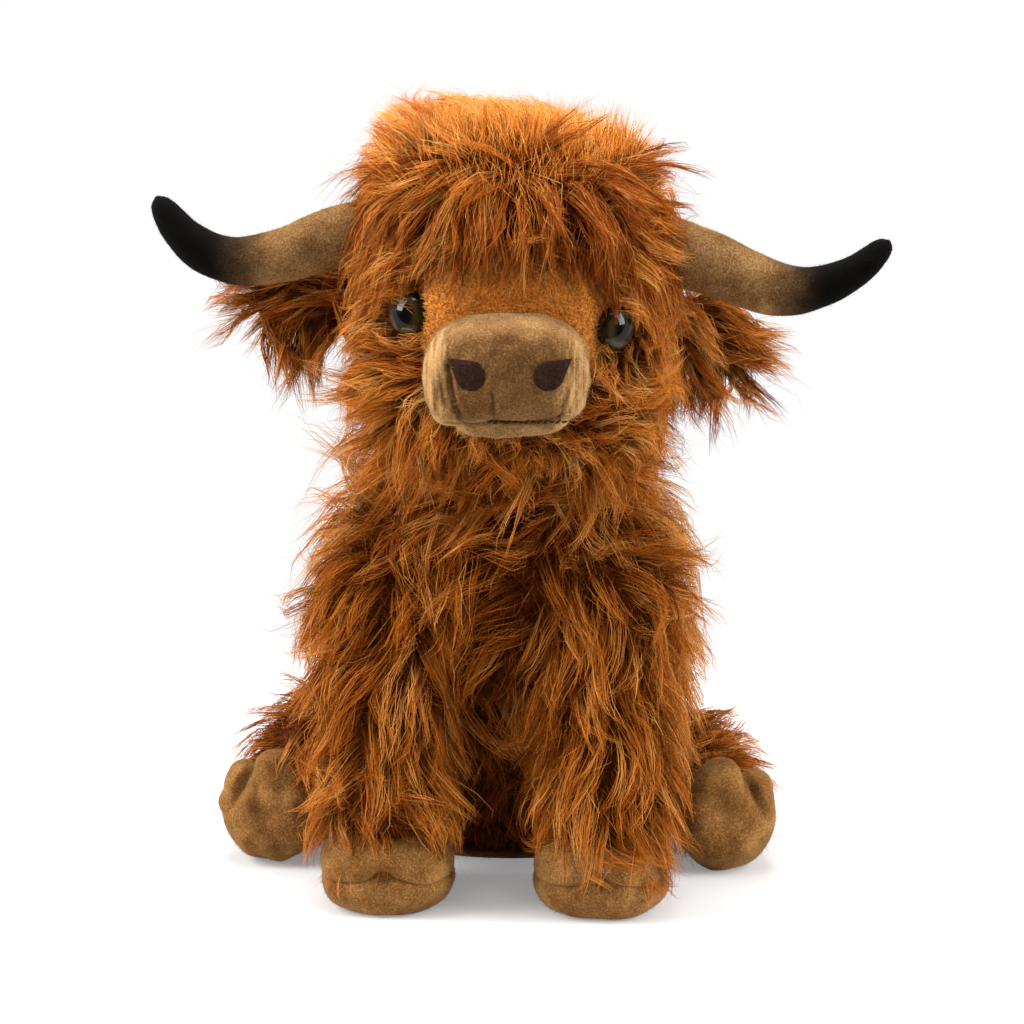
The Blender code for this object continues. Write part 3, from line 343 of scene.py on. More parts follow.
def locks_over(
    grid, roots, normals, heading, length, lift, seed,
    sag=0.5, swirl=0.5, loft=0.012, curl=0.07, wander=0.6,
):
    """Paths of the locks. Each sets out at its lift from the skin along its heading, which wanders from
    place to place, turns at a rate that its neighbours share, drifts and sags as it goes, and is held
    at a height over the skin that rises to its own share of the loft."""
    rng = np.random.default_rng(seed)
    steps = 10
    skin, skin_normals = grid.reshape(-1, 3), normals_of(grid).reshape(-1, 3)
    own = rng.uniform(0.25, 1.0, (len(roots), 1)) * loft
    way = unit(heading) + wander * drifting(roots, 0.040, seed + 2)
    way = unit(way - (way * normals).sum(1, keepdims=True) * normals)
    way = unit(way + 0.25 * swirl * rng.normal(size=way.shape))
    going = unit(way * np.cos(lift)[:, None] + normals * np.sin(lift)[:, None])
    beside = np.cross(normals, way)
    turn = curl * (drifting(roots, 0.030, seed + 3)[:, :1] + 0.6 * rng.normal(size=(len(roots), 1)))
    step = length[:, None] / steps
    place, path = roots.copy(), [roots]
    for index in range(steps):
        heading = way * np.cos(turn * index) + beside * np.sin(turn * index)
        pull = heading + swirl * drifting(place, 0.045, seed + 1) + np.array([0, 0, -sag])
        going = unit(going * 0.70 + 0.30 * unit(pull))
        place = place + going * step
        close = nearest(place, skin)
        over = ((place - skin[close]) * skin_normals[close]).sum(1, keepdims=True)
        held = own * min(1.0, 0.15 + 1.2 * (index + 1) / steps)
        place = place + skin_normals[close] * np.maximum(0, held - over) * 0.7
        path.append(place)
    return np.stack(path, axis=1)


def shorn(paths, outside):
    """Paths cut where they first leave a form, and drawn afresh with as many steps: outside(points) is
    under 0 in the form, and the cut lies between the last step in it and the first one out of it."""
    steps = paths.shape[1] - 1
    level = outside(paths)
    first = np.where((level > 0).any(axis=1), np.argmax(level > 0, axis=1), steps)
    first = np.clip(first, 1, steps)
    rows = np.arange(len(paths))
    low, high = level[rows, first - 1], level[rows, first]
    part = np.clip(np.where(high > 0, -low / np.maximum(high - low, 1e-9), 1.0), 0.1, 1.0)
    at = np.linspace(0, 1, steps + 1) * (first - 1 + part)[:, None]
    before = np.minimum(at.astype(int), steps - 1)
    rest = (at - before)[..., None]
    rows = rows[:, None]
    return paths[rows, before] * (1 - rest) + paths[rows, before + 1] * rest


def hairs_from(
    roots, rings, lock_roots, lock_paths, seed, cling=0.66, waver=0.0026, stray=0.07, ragged=0.60
):
    """Points of each hair at the hair rings. A hair copies the path of its nearest lock, and its offset
    from it shrinks towards the tip, first within a wisp of about eight hairs and then within the lock:
    p(s) = lock(s) + wisp offset (1 - c s^1.3) + own offset (1 - c s^0.7) + waver s sin(f s + phase).
    The hairs of a wisp waver alike."""
    rng = np.random.default_rng(seed)
    count = len(roots)
    lock = nearest(roots, lock_roots)
    wisps = roots[rng.permutation(count)[: max(1, count // 8)]]
    member = nearest(roots, wisps)
    wisp = wisps[member]
    s = rings[None, :, None]
    reach = rng.uniform(ragged, 1.10, (count, 1, 1))
    strays = rng.random((count, 1, 1)) < stray
    reach = np.where(strays, reach * 1.12, reach)
    at = np.clip(s * reach, 0, 1) * (lock_paths.shape[1] - 1)
    low = np.minimum(at.astype(int), lock_paths.shape[1] - 2)
    part = at - low
    rows = lock[:, None, None]
    here, after = lock_paths[rows, low, :][:, :, 0], lock_paths[rows, low + 1, :][:, :, 0]
    along = here * (1 - part) + after * part
    ending = lock_paths[lock][:, -1:] - lock_paths[lock][:, -3:-2]
    along = along + np.maximum(0, s * reach - 1) * ending * 4
    to_wisp = (wisp - lock_roots[lock])[:, None]
    to_own = (roots - wisp)[:, None]
    hold = np.where(strays, 0.15, cling) * rng.uniform(0.7, 1.15, (count, 1, 1))
    hold = np.clip(hold, 0, 0.97)
    spin = rng.normal(size=(len(wisps), 3))[member]
    spin = spin + np.where(strays, 2.0, 0.25)[:, 0] * rng.normal(size=(count, 3))
    aside = unit(np.cross(along[:, -1] - along[:, 0], spin))[:, None]
    phase = rng.uniform(0, 2 * math.pi, len(wisps))[member][:, None, None]
    pace = rng.uniform(2.5, 6.0, len(wisps))[member][:, None, None]
    sway = waver * rng.uniform(0.3, 1.4, len(wisps))[member][:, None, None]
    sway = np.where(strays, 2.5 * waver, sway) * rng.uniform(0.8, 1.2, (count, 1, 1))
    points = along + to_wisp * (1 - hold * s**1.3) + to_own * (1 - hold * s**0.7)
    points = points + aside * sway * s * (np.sin(pace * s * 1.6 + phase) - np.sin(phase))
    return points, lock, member, strays[:, 0, 0]


def hair_mesh(name, points, shares, tone, width, finish, seed):
    """Closed cones: three corners at each ring, r(s) = width (1 - 0.75 s^2) / 2, one tip, one root cap.
    The map runs along each hair in v and holds its tone in u."""
    rng = np.random.default_rng(seed)
    count, rings = points.shape[0], points.shape[1] - 1
    tangent = unit(np.gradient(points, axis=1))
    aside = unit(np.cross(tangent, rng.normal(size=(count, 1, 3))))
    across = np.cross(tangent, aside)
    s = shares[:-1]
    radius = (width[:, None] / 2 * (1 - 0.75 * s**2) * np.where(s == 0, 0.8, 1.0))[..., None]
    turn = np.arange(3) * 2 * math.pi / 3
    ring = (
        points[:, :-1, None]
        + (radius * aside[:, :-1])[:, :, None] * np.cos(turn)[:, None]
        + (radius * across[:, :-1])[:, :, None] * np.sin(turn)[:, None]
    )
    body = np.concatenate([ring.reshape(count, rings * 3, 3), points[:, -1:]], axis=1)
    size = rings * 3 + 1
    r, k = np.meshgrid(np.arange(rings - 1), np.arange(3), indexing="ij")
    after = (k + 1) % 3
    quads = np.stack([r * 3 + k, r * 3 + after, r * 3 + 3 + after, r * 3 + 3 + k], -1).reshape(-1, 4)
    last = (rings - 1) * 3
    tips = np.array([[last + a, last + b, size - 1, -1] for a, b in ((0, 1), (1, 2), (2, 0))])
    cap = np.array([[2, 1, 0, -1]])
    pattern = np.concatenate([quads, tips, cap])
    faces = np.where(pattern < 0, -1, pattern + np.arange(count)[:, None, None] * size).reshape(-1, 4)
    level = np.concatenate([np.repeat(s, 3), [1.0]])
    side = np.tile([-0.002, 0.0, 0.002], rings + 1)[:size]
    v = np.where(pattern < 0, 0, level[pattern])
    v[-1] = [0.004, 0.0, 0.008, 0]
    u = np.where(pattern < 0, 0, side[pattern])
    u[-1 - len(tips) : -1, 2] = 0.0
    uv = np.empty((count, len(pattern), 4, 2))
    uv[..., 0] = np.clip(tone, 0.004, 0.996)[:, None, None] + u
    uv[..., 1] = 0.004 + 0.99 * v
    return add_mesh(name, body.reshape(-1, 3), faces, finish, uv.reshape(-1, 4, 2))


def pile_finish(name, deep, body, gold):
    """Dyed acrylic pile. A hair's own tone picks its dye, from deep through body to gold. Along the hair a
    painted shade darkens it towards the root, for the shade deep in the fur, and its tip keeps the full dye.
    Both are functions of the hair's own map alone."""
    finish = Finish(name, Specular_IOR_Level=0.12, Specular_Tint=(1.0, 0.62, 0.3, 1))
    where = finish.node("UVMap", {"uv_map": "OFBake"})
    tone = finish.node("SeparateXYZ", Vector=where, output=0)
    along = finish.node("SeparateXYZ", Vector=where, output=1)
    dye = finish.node("ValToRGB", {"stops": ((0.05, deep), (0.5, body), (0.95, gold))}, Fac=tone)
    # Painted shade: these greys darken each hair towards its root, for the shade deep in the fur.
    greys = [(place, (level, level, level)) for place, level in ((0.0, 0.18), (0.40, 0.72), (1.0, 1.0))]
    shade = finish.node("ValToRGB", {"stops": greys}, Fac=along)
    paint = finish.node("VectorMath", {"operation": "MULTIPLY"}, _0=dye, _1=shade)
    return finish.feed(Base_Color=paint, Roughness=0.66 - tone * 0.22)


def furred(name, grid, count, locks, heading, length, lift, seed, finish, width=0.00029, **habit):
    """Grows one patch of pile. Heading, length and lift are functions of the roots' places."""
    rng = np.random.default_rng(seed)
    density, rings = habit.pop("density", None), habit.pop("rings", HAIR_RINGS)
    own = ("cling", "waver", "stray", "ragged")
    hair_habit = {key: habit.pop(key) for key in own if key in habit}
    outside, paler = habit.pop("outside", None), habit.pop("paler", None)
    lock_roots, lock_normals = sown(grid, locks, rng, density)
    jitter = rng.uniform(0.75, 1.15, locks)
    paths = locks_over(
        grid,
        lock_roots,
        lock_normals,
        heading(lock_roots, lock_normals),
        length(lock_roots) * jitter,
        np.radians(lift(lock_roots) + rng.normal(0, 7, locks)),
        seed,
        **habit,
    )
    if outside:
        paths = shorn(paths, outside)
    roots, _ = sown(grid, count, rng, density)
    points, lock, wisp, strays = hairs_from(roots, rings, lock_roots, paths, seed, **hair_habit)
    tone = 0.46 + 0.12 * rng.normal(size=locks)[lock] + 0.17 * rng.normal(size=count)[wisp]
    # The paler hook, where given, adds painted light and shade to the tone by the root's place.
    tone = tone + 0.12 * rng.normal(size=count) + (paler(roots) if paler else 0)
    tone = np.clip(np.where(strays, tone + 0.25, tone), 0.02, 0.98)
    widths = width * rng.uniform(0.7, 1.3, count) * np.where(strays, 0.7, 1.0)
    return hair_mesh(name, points, rings, tone, widths, finish, seed)


def fuzzed(name, grid, count, length, finish, seed, lean=(0, 0, -0.5), fade=None, width=0.00018):
    """Short straight fibres: cones of four faces that stand off the surface with a lean. Their map
    holds a tone in u and runs from root to tip in v, as the long pile's does."""
    rng = np.random.default_rng(seed)
    roots, normals = sown(grid, count, rng, fade)
    way = unit(normals + 0.65 * unit(np.asarray(lean, float)) + 0.5 * rng.normal(size=normals.shape))
    reach = length * rng.uniform(0.5, 1.2, (count, 1))
    tips = roots + way * reach
    tangent = unit(np.cross(way, rng.normal(size=way.shape)))
    across = np.cross(way, tangent)
    turn = np.arange(3) * 2 * math.pi / 3
    base = (
        (roots - way * 0.0003)[:, None]
        + width / 2 * np.cos(turn)[:, None] * tangent[:, None]
        + width / 2 * np.sin(turn)[:, None] * across[:, None]
    )
    points = np.concatenate([base, tips[:, None]], axis=1).reshape(-1, 3)
    pattern = np.array([[0, 1, 3, -1], [1, 2, 3, -1], [2, 0, 3, -1], [2, 1, 0, -1]])
    faces = np.where(pattern < 0, -1, pattern + np.arange(count)[:, None, None] * 4).reshape(-1, 4)
    tone = np.clip(0.45 + 0.22 * rng.normal(size=count), 0.01, 0.99)
    uv = np.empty((count, 4, 4, 2))
    uv[..., 0] = tone[:, None, None] + np.array([-0.002, 0.002, 0.0, 0.0])
    uv[..., 1] = np.array([0.004, 0.004, 0.996, 0.0])
    uv[:, 3, :, 1] = np.array([0.004, 0.004, 0.012, 0.0])
    return add_mesh(name, points, faces, finish, uv.reshape(-1, 4, 2))


def ramp(values, start, span):
    """0 up to the start, 1 from a span beyond it, and straight in between."""
    return np.clip((values - start) / span, 0, 1)


def down_and_out(points, normals):
    """Down, and away from the middle line in step with the distance from it, a little forwards. High
    on the left side it stands out further."""
    way = np.zeros_like(points)
    high = ramp(points[:, 2], 0.125, 0.02) * ramp(-points[:, 0], 0.025, 0.01)
    way[:, 0] = (7.0 + 24.0 * high) * (points[:, 0] - TORSO_SIDE_LEAN)
    way[:, 1] = normals[:, 1] * 0.25
    way[:, 2] = -1.0
    return way


ginger = pile_finish("ginger_pile", (0.20, 0.040, 0.002), (0.60, 0.160, 0.012), (0.98, 0.45, 0.11))
undercoat = pile_finish("ginger_undercoat", (0.13, 0.025, 0.001), (0.36, 0.085, 0.005), (0.60, 0.17, 0.014))


def in_front(points):
    """1 before the torso's leaning middle, and 0 behind it."""
    middle = np.interp(points[..., 2], torso_path[:, 2], torso_path[:, 1])
    return (points[..., 1] < middle) * 1.0


def painted_chest_shade_and_flank_light(points):
    """Painted light and shade in the tone: tone taken off the chest, for the head's shadow on it, more off
    the belly between the legs, where shade falls, and added to the flanks, where the light falls."""
    aside = np.abs(points[:, 0])
    low = ramp(-points[:, 2], -0.055, 0.02) * ramp(-aside, -0.034, 0.01)
    return np.interp(aside, [0.020, 0.050], [-0.10, 0.36]) - 0.45 * low


def torso_length(points):
    """From 22 mm at the seat to 36 mm from the middle up, 6 mm more on the left side, and 16 mm more at
    its shoulder."""
    left, shoulder = ramp(-points[:, 0], 0.030, 0.006), ramp(points[:, 2], 0.118, 0.012)
    return np.interp(points[:, 2], [0.03, 0.09], [0.022, 0.036]) + left * (0.006 + 0.010 * shoulder)


def torso_lift(points):
    """Degrees: 40 on the belly, 54 at the shoulders, and 6 more on the left side."""
    return np.interp(points[:, 2], [0.08, 0.14], [40.0, 54.0]) + 6 * (points[:, 0] < -0.035)


for name, side, seed, count, rings in (
    ("torso_pile_front", in_front, 11, 8300, HAIR_RINGS),
    ("torso_pile_back", lambda p: 1 - in_front(p), 12, 6200, BACK_RINGS),
):
    pile = furred(
        name, torso_skin, count, 420, down_and_out, torso_length, torso_lift, seed, ginger,
        density=side, rings=rings, swirl=0.9, curl=0.13, wander=0.8, loft=0.015,
        # The tone hook paints light on the flanks and shade on the chest and belly.
        paler=painted_chest_shade_and_flank_light, outside=lambda p: 0.005 - p[..., 2],
    )
    dressed(pile, "torso", "long_pile")
UNDERCOAT_WIDTH = 0.0004
fluff = fuzzed(
    "torso_undercoat", torso_skin, 10000, 0.011, undercoat, 13,
    fade=lambda p: (p[..., 2] > 0.013) * 1.0, width=UNDERCOAT_WIDTH,
)
dressed(fluff, "torso", "long_pile")

# The neck is a ball of stuffing that the head turns on. Its ruff of long pile falls over the seam with the
# torso.
PIVOT = np.array([0.0045, -0.042, 0.172])
NECK_RADIUS = 0.037


def ball_grid(middle, radius):
    """A ball with its poles above and below: P = middle - cos(t) r Z + sin(t) r (cos(u) X + sin(u) Y)."""
    turn = np.linspace(0.02, math.pi - 0.02, 40)
    path = middle - np.cos(turn)[:, None] * np.array([0, 0, 1.0]) * radius
    return tube_grid(path, radius * np.sin(turn), radius * np.sin(turn), (1, 0, 0))


neck_skin = ball_grid(PIVOT, NECK_RADIUS)
neck_cloth = add_mesh("neck_cloth", *closed_grid(neck_skin), backing)
dressed(neck_cloth, "neck", "long_pile", "neck", fill=0.8)


def off_neck(points, normals):
    """Down, and outwards from the neck's axis."""
    way = (points - PIVOT) * 26.0
    way[:, 2] = -0.8
    return way


def ruff_length(points):
    """47 mm, and 56 mm on the left side."""
    return np.interp(points[:, 0], [-0.03, -0.01], [0.056, 0.047])


ruff = furred(
    "neck_ruff", neck_skin, 7100, 330, off_neck, ruff_length, lambda p: np.full(len(p), 50.0), 21, ginger,
    density=lambda p: ((p[..., 2] > 0.146) & (p[..., 2] < 0.196)) * 1.0,
    loft=0.023, swirl=0.9, curl=0.12, wander=0.7,
)
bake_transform(ruff)

# The head is one stuffed form. Its cloth lies close behind the eyes, where the pile is short, and deep
# under the crown, where it is longest. All its pieces stand with the head's slight roll.
HEAD_ROLL = math.radians(3.5)
ROLL_C, ROLL_S = math.cos(HEAD_ROLL), math.sin(HEAD_ROLL)
TURN_HEAD = np.array([[ROLL_C, 0, ROLL_S], [0, 1, 0], [-ROLL_S, 0, ROLL_C]])


def on_head(points):
    """From the head's own frame, with its zero at the neck's pivot, to the object's frame."""
    return np.asarray(points) @ TURN_HEAD.T + PIVOT


def from_head(points):
    """From the object's frame back to the head's own."""
    return (points - PIVOT) @ TURN_HEAD


# Shares: height, half width, half depth, forward, sideways.
skull_rows = curve_through(
    (
        (0.00, 0.10, 0.10, 0.90, 0.00),
        (0.03, 0.62, 0.60, 0.90, 0.00),
        (0.14, 0.92, 0.90, 0.95, 0.00),
        (0.36, 1.00, 1.00, 1.00, 0.00),
        (0.60, 0.97, 1.00, 1.00, 0.10),
        (0.78, 0.94, 0.98, 1.10, 0.50),
        (0.92, 0.80, 0.86, 1.35, 0.95),
        (0.98, 0.50, 0.54, 1.45, 1.00),
        (1.00, 0.08, 0.08, 1.45, 1.00),
    ),
    60,
)
SKULL_WIDTH, SKULL_DEPTH, SKULL_LOW, SKULL_HIGH = 0.0515, 0.0475, -0.001, 0.112
SKULL_FORWARD, SKULL_ASIDE = -0.0115, -0.008
height, width, depth, forward, aside = skull_rows.T
skull_path = np.stack(
    [SKULL_ASIDE * aside, SKULL_FORWARD * forward, SKULL_LOW + (SKULL_HIGH - SKULL_LOW) * height], axis=1
)
skull_grid = tube_grid(
    skull_path, SKULL_WIDTH * width, SKULL_DEPTH * depth, (1, 0, 0), around=96, square=2.35
)
skull_skin = on_head(skull_grid)
head_cloth = add_mesh("head_cloth", *closed_grid(skull_skin), backing)
dressed(head_cloth, "head", "long_pile", "head", "crown_panel", fill=0.85)

# The cheeks, chin and nape. The pile is brushed away from the muzzle: short beside it and round the
# eyes, and long at the sides, under the chin and behind.
MUZZLE_HEIGHT_ON_HEAD = 0.038
EYE_ASIDE, EYE_LEVEL = 0.036, 0.050
rosy = pile_finish("rosy_pile", (0.36, 0.085, 0.006), (0.90, 0.29, 0.030), (1.0, 0.56, 0.17))


def bell(values, power=2):
    """exp(-x^2): 1 at 0, and next to nothing beyond 2."""
    return np.exp(-(values**power))


def face_clear(local):
    """0 inside the muzzle's root, the trimmed patch over it and the eyes, and 1 elsewhere."""
    x, z = local[..., 0], local[..., 2]
    front = local[..., 1] < -0.034
    muzzle = (x / 0.027) ** 2 + ((z - 0.037) / 0.020) ** 2 < 1
    patch = (np.abs(x) < 0.027) & (z > 0.030) & (z < 0.073)
    eyes = (np.abs(x) - 0.035) ** 2 + (z - EYE_LEVEL) ** 2 < 0.0074**2
    return np.where(front & (muzzle | patch | eyes), 0.0, 1.0)


def from_eye(local):
    """The distance of each place from the middle of the eye on its own side, seen from the front, with
    the way there as a pair."""
    aside = np.stack([np.abs(local[..., 0]) - EYE_ASIDE, local[..., 2] - EYE_LEVEL], axis=-1)
    return np.linalg.norm(aside, axis=-1), aside


def from_muzzle(points, normals):
    """Away from the muzzle's middle on the face, and down behind it."""
    local = from_head(points)
    way = np.stack(
        [
            local[:, 0] / 0.030,
            0.35 + 0 * local[:, 0],
            np.clip((local[:, 2] - MUZZLE_HEIGHT_ON_HEAD) / 0.045, -1, 0.5) - 0.55,
        ],
        axis=1,
    )
    gap, aside = from_eye(local)
    near = 0.6 * bell(gap / 0.010)[:, None] * unit(aside)
    inner = np.where(aside[:, 0] < 0.002, 1.0, 0.1)
    way[:, 0] += near[:, 0] * np.sign(local[:, 0]) * inner
    way[:, 2] += near[:, 1] * inner - 0.5 * (1 - inner) * (gap < 0.016)
    back = ramp(local[:, 1:2], -0.02, 0.03)
    way = way * (1 - back) + back * np.array([0, 0.1, -1.0])
    return way @ TURN_HEAD.T


def cheek_length(points):
    """From 9 mm beside the muzzle and the eyes to 34 mm at the sides and behind."""
    local = from_head(points)
    away = np.hypot(local[:, 0] * 0.9, local[:, 2] - MUZZLE_HEIGHT_ON_HEAD)
    front = ramp(-local[:, 1], 0.026, 0.018)
    near = np.interp(away, [0.022, 0.036, 0.052], [0.009, 0.018, 0.030])
    by_eye = np.interp(from_eye(local)[0], [0.007, 0.014, 0.026], [0.0095, 0.015, 0.034])
    return np.minimum(near, by_eye) * front + 0.034 * (1 - front)


def cheek_lift(points):
    """Degrees: 36 at the sides, 26 beside the muzzle, and 50 round the eyes."""
    local = from_head(points)
    face = np.interp(-local[:, 1], [0.03, 0.05], [36.0, 26.0])
    front = ramp(-local[:, 1], 0.026, 0.018)
    return face + 24.0 * front * bell(from_eye(local)[0] / 0.014)


for name, seed, count, rings, dye, region in (
    ("cheek_pile", 31, 7800, HAIR_RINGS, rosy, lambda q: (q[..., 1] < -0.006) & (q[..., 2] < 0.078)),
    ("nape_pile", 32, 4200, BACK_RINGS, ginger, lambda q: (q[..., 1] >= -0.006) & (q[..., 2] < 0.086)),
):
    pile = furred(
        name, skull_skin, count, count // 24, from_muzzle, cheek_length, cheek_lift, seed, dye,
        density=lambda p, region=region: region(from_head(p)) * face_clear(from_head(p)),
        rings=rings, loft=0.014, swirl=0.7, curl=0.10, wander=0.45,
    )
    dressed(pile, "head", "long_pile")
fluff = fuzzed(
    "head_undercoat", skull_skin, 8000, 0.008, undercoat, 33,
    fade=lambda p: face_clear(from_head(p)), width=UNDERCOAT_WIDTH,
)
dressed(fluff, "head", "long_pile")

# The crown and forelock: a panel of paler, straighter pile. It stands up off the top in a soft mop and
# hangs over the forehead in loose locks.
pale = pile_finish("pale_pile", (0.34, 0.072, 0.004), (0.84, 0.245, 0.023), (1.0, 0.56, 0.16))
PARTING = np.array([-0.004, -0.050, 0.102])
PARTING_HALF = 0.013
BROW_HEIGHT = 0.0695


def from_parting(points, normals):
    """Away from the nearest place of the parting, a short line across the top of the forehead: up and
    back over the crown, and down below it."""
    local = from_head(points)
    away = local - PARTING
    away[:, 0] -= np.clip(away[:, 0], -PARTING_HALF, PARTING_HALF) * 0.9
    out = unit(away)
    rise = np.clip((local[:, 2] - 0.098) / 0.010, -1, 1)
    near = bell(np.linalg.norm(away, axis=1) / 0.020)
    out[:, 0] *= 1 - 0.45 * np.clip(rise, 0, 1)
    way = out + np.stack([0.0 * rise, -0.9 * near * (rise > 0), (0.8 + 1.2 * near) * rise], axis=1)
    return way @ TURN_HEAD.T


def forelock_length(points):
    """So long that a lock ends over the brow: its root's height above the brow, and 6 mm. Beside the
    eyes it hangs 14 mm lower."""
    local = from_head(points)
    brow = BROW_HEIGHT - np.interp(np.abs(local[:, 0]), [0.020, 0.036], [0.0, 0.014])
    return np.clip(1.15 * (local[:, 2] - brow) + 0.006, 0.008, 0.041)


def crown_length(points):
    """44 mm over the top, shorn off afterwards, and less down the back and the sides."""
    return np.interp(from_head(points)[:, 2], [0.074, 0.100], [0.028, 0.044])


def crown_lift(points):
    """Degrees: 30 on the forehead's front, 62 on the top, and 46 at most at the sides."""
    local = from_head(points)
    top = np.interp(local[:, 2], [0.098, 0.105, 0.111], [30.0, 44.0, 62.0])
    aside = ramp(np.abs(local[:, 0] + 0.008), 0.024, 0.016)
    return top * (1 - aside) + aside * np.minimum(top, 46.0)


# Shares: height, half width, half depth, set back.
MOP_BOTTOM = 0.068
mop_rows = np.array(
    (
        (0.00, 0.72, 0.90, 0.00),
        (0.15, 0.90, 0.98, 0.00),
        (0.40, 1.00, 1.00, 0.10),
        (0.65, 0.94, 0.92, 0.40),
        (0.85, 0.78, 0.74, 0.80),
        (0.97, 0.60, 0.56, 0.96),
        (1.00, 0.30, 0.30, 1.00),
    )
)


def off_mop(points):
    """Under 0 inside the mop's trimmed form, level superellipses under one another with a free tuft
    over the right horn, and over 0 outside it."""
    local = from_head(points)
    places = [-0.050, -0.035, -0.020, 0.0, 0.020, 0.035, 0.050]
    top = np.interp(local[..., 0], places, [0.131, 0.1265, 0.1235, 0.1262, 0.1220, 0.1145, 0.1060])
    share = ramp(local[..., 2], MOP_BOTTOM, top - MOP_BOTTOM)
    wide, deep, back = (np.interp(share, mop_rows[:, 0], mop_rows[:, k]) for k in (1, 2, 3))
    aside = np.abs((local[..., 0] + 0.0065 + 0.004 * back) / (0.0565 * wide))
    along = np.abs((local[..., 1] + 0.014 - 0.010 * back) / (0.059 * deep))
    tuft = (local[..., 0] > 0) * ramp(-local[..., 2], -0.101, 0.010)
    aside = aside / (1 + 0.36 * tuft)
    around = (aside**2.3 + along**2.3) ** (1 / 2.3) - 1
    return np.maximum(around, (local[..., 2] - top) * 20)


def painted_crown_top_light(points):
    """Painted light and shade in the tone: added with the root's height over the parting, so the top reads
    lit and the parting shaded.
    """
    return np.clip((from_head(points)[:, 2] - 0.102) / 0.010, -1, 1) * 0.20


def on_crown(points):
    """1 over the top, the sides and the back, and over the forehead only above the parting."""
    local = from_head(points)
    return ((local[..., 2] > 0.078) & ((local[..., 1] > -0.048) | (local[..., 2] > 0.099))) * 1.0


def on_forehead(points):
    """1 on the forehead below the parting."""
    local = from_head(points)
    return ((local[..., 2] > 0.074) & (local[..., 2] < 0.104) & (local[..., 1] < -0.024)) * 1.0


brow = pile_finish("brow_pile", (0.17, 0.032, 0.002), (0.48, 0.105, 0.007), (1.0, 0.44, 0.10))
panel_habit = {"width": 0.00027, "swirl": 0.4, "curl": 0.06, "wander": 0.25}
crown_pile = furred(
    "crown_pile", skull_skin, 12000, 700, from_parting, crown_length, crown_lift, 41, pale,
    # The tone hook paints light on the crown's top and shade at the parting.
    density=on_crown, rings=BACK_RINGS, loft=0.015, sag=-0.05, paler=painted_crown_top_light,
    cling=0.42, stray=0.03, waver=0.0018, ragged=0.80, outside=off_mop, **panel_habit,
)
forelock_pile = furred(
    "forelock_pile", skull_skin, 5700, 220, from_parting, forelock_length,
    lambda p: np.full(len(p), 38.0), 42, brow,
    density=on_forehead, loft=0.011, sag=0.5, cling=0.66, stray=0.06, **panel_habit,
)
crown_undercoat = fuzzed(
    "crown_undercoat", skull_skin, 5000, 0.013, pale, 43,
    lean=(0, 0, 0.4), fade=lambda p: (from_head(p)[..., 2] > 0.088) * 1.0, width=UNDERCOAT_WIDTH,
)
for pile in (crown_pile, forelock_pile, crown_undercoat):
    dressed(pile, "head", "crown_pile")

# Short plush: the muzzle, the lip, the horns and the hooves are cut from one tan velour whose pile is
# a millimetre long. Its nap shows as mottling, and as loose fibres along every edge.


def plush_finish(name, colour, pale_colour, dark_colour, nap_and_painted_light=None, sprayed=None, sheen=0.35):
    """Velour: tones mostly from single fibres and a little from patches where the nap lies differently, with
    the fibres in the bump too. A tone function, where given, adds painted light and shade with some of the
    nap's own marks, and `sprayed` lays a colour over the dye."""
    finish = Finish(
        name, Roughness=0.9, Specular_IOR_Level=0.1,
        Sheen_Weight=sheen, Sheen_Roughness=0.35, Sheen_Tint=(0.9, 0.62, 0.32, 1),
    )
    place = finish.node("TexCoord", output=3)
    fibres = finish.node("TexNoise", Vector=place, Scale=1300.0, Detail=4.0, Roughness=0.75)
    nap = finish.node("TexNoise", Vector=place, Scale=90.0, Detail=3.0, Roughness=0.5)
    tone = nap * 0.35 + fibres * 0.65
    # Painted light and shade, with nap streaks, added to the tone.
    if nap_and_painted_light:
        tone = tone + nap_and_painted_light(finish, place)
    palest = [min(0.8, c * 1.55) for c in pale_colour]
    stops = ((0.38, dark_colour), (0.5, colour), (0.62, pale_colour), (0.85, palest))
    paint = finish.node("ValToRGB", {"stops": stops}, Fac=tone)
    if sprayed:
        paint = sprayed(finish, place, paint)
    bump = finish.node("Bump", Strength=0.55, Distance=0.0005, Height=fibres + nap * 0.6)
    return finish.feed(Base_Color=paint, Normal=bump)


# The muzzle and lower lip: a soft block of velour, rounded at the front, with a crease under each
# nostril and a sewn mouth.
MUZZLE_HALF_WIDTH, MUZZLE_HALF_HEIGHT, MUZZLE_MIDDLE = 0.0281, 0.0185, 0.0362
MUZZLE_ROOT, MUZZLE_FRONT = -0.040, -0.0955
MUZZLE_ASIDE, MOUTH_LEVEL = 0.0022, 0.0196


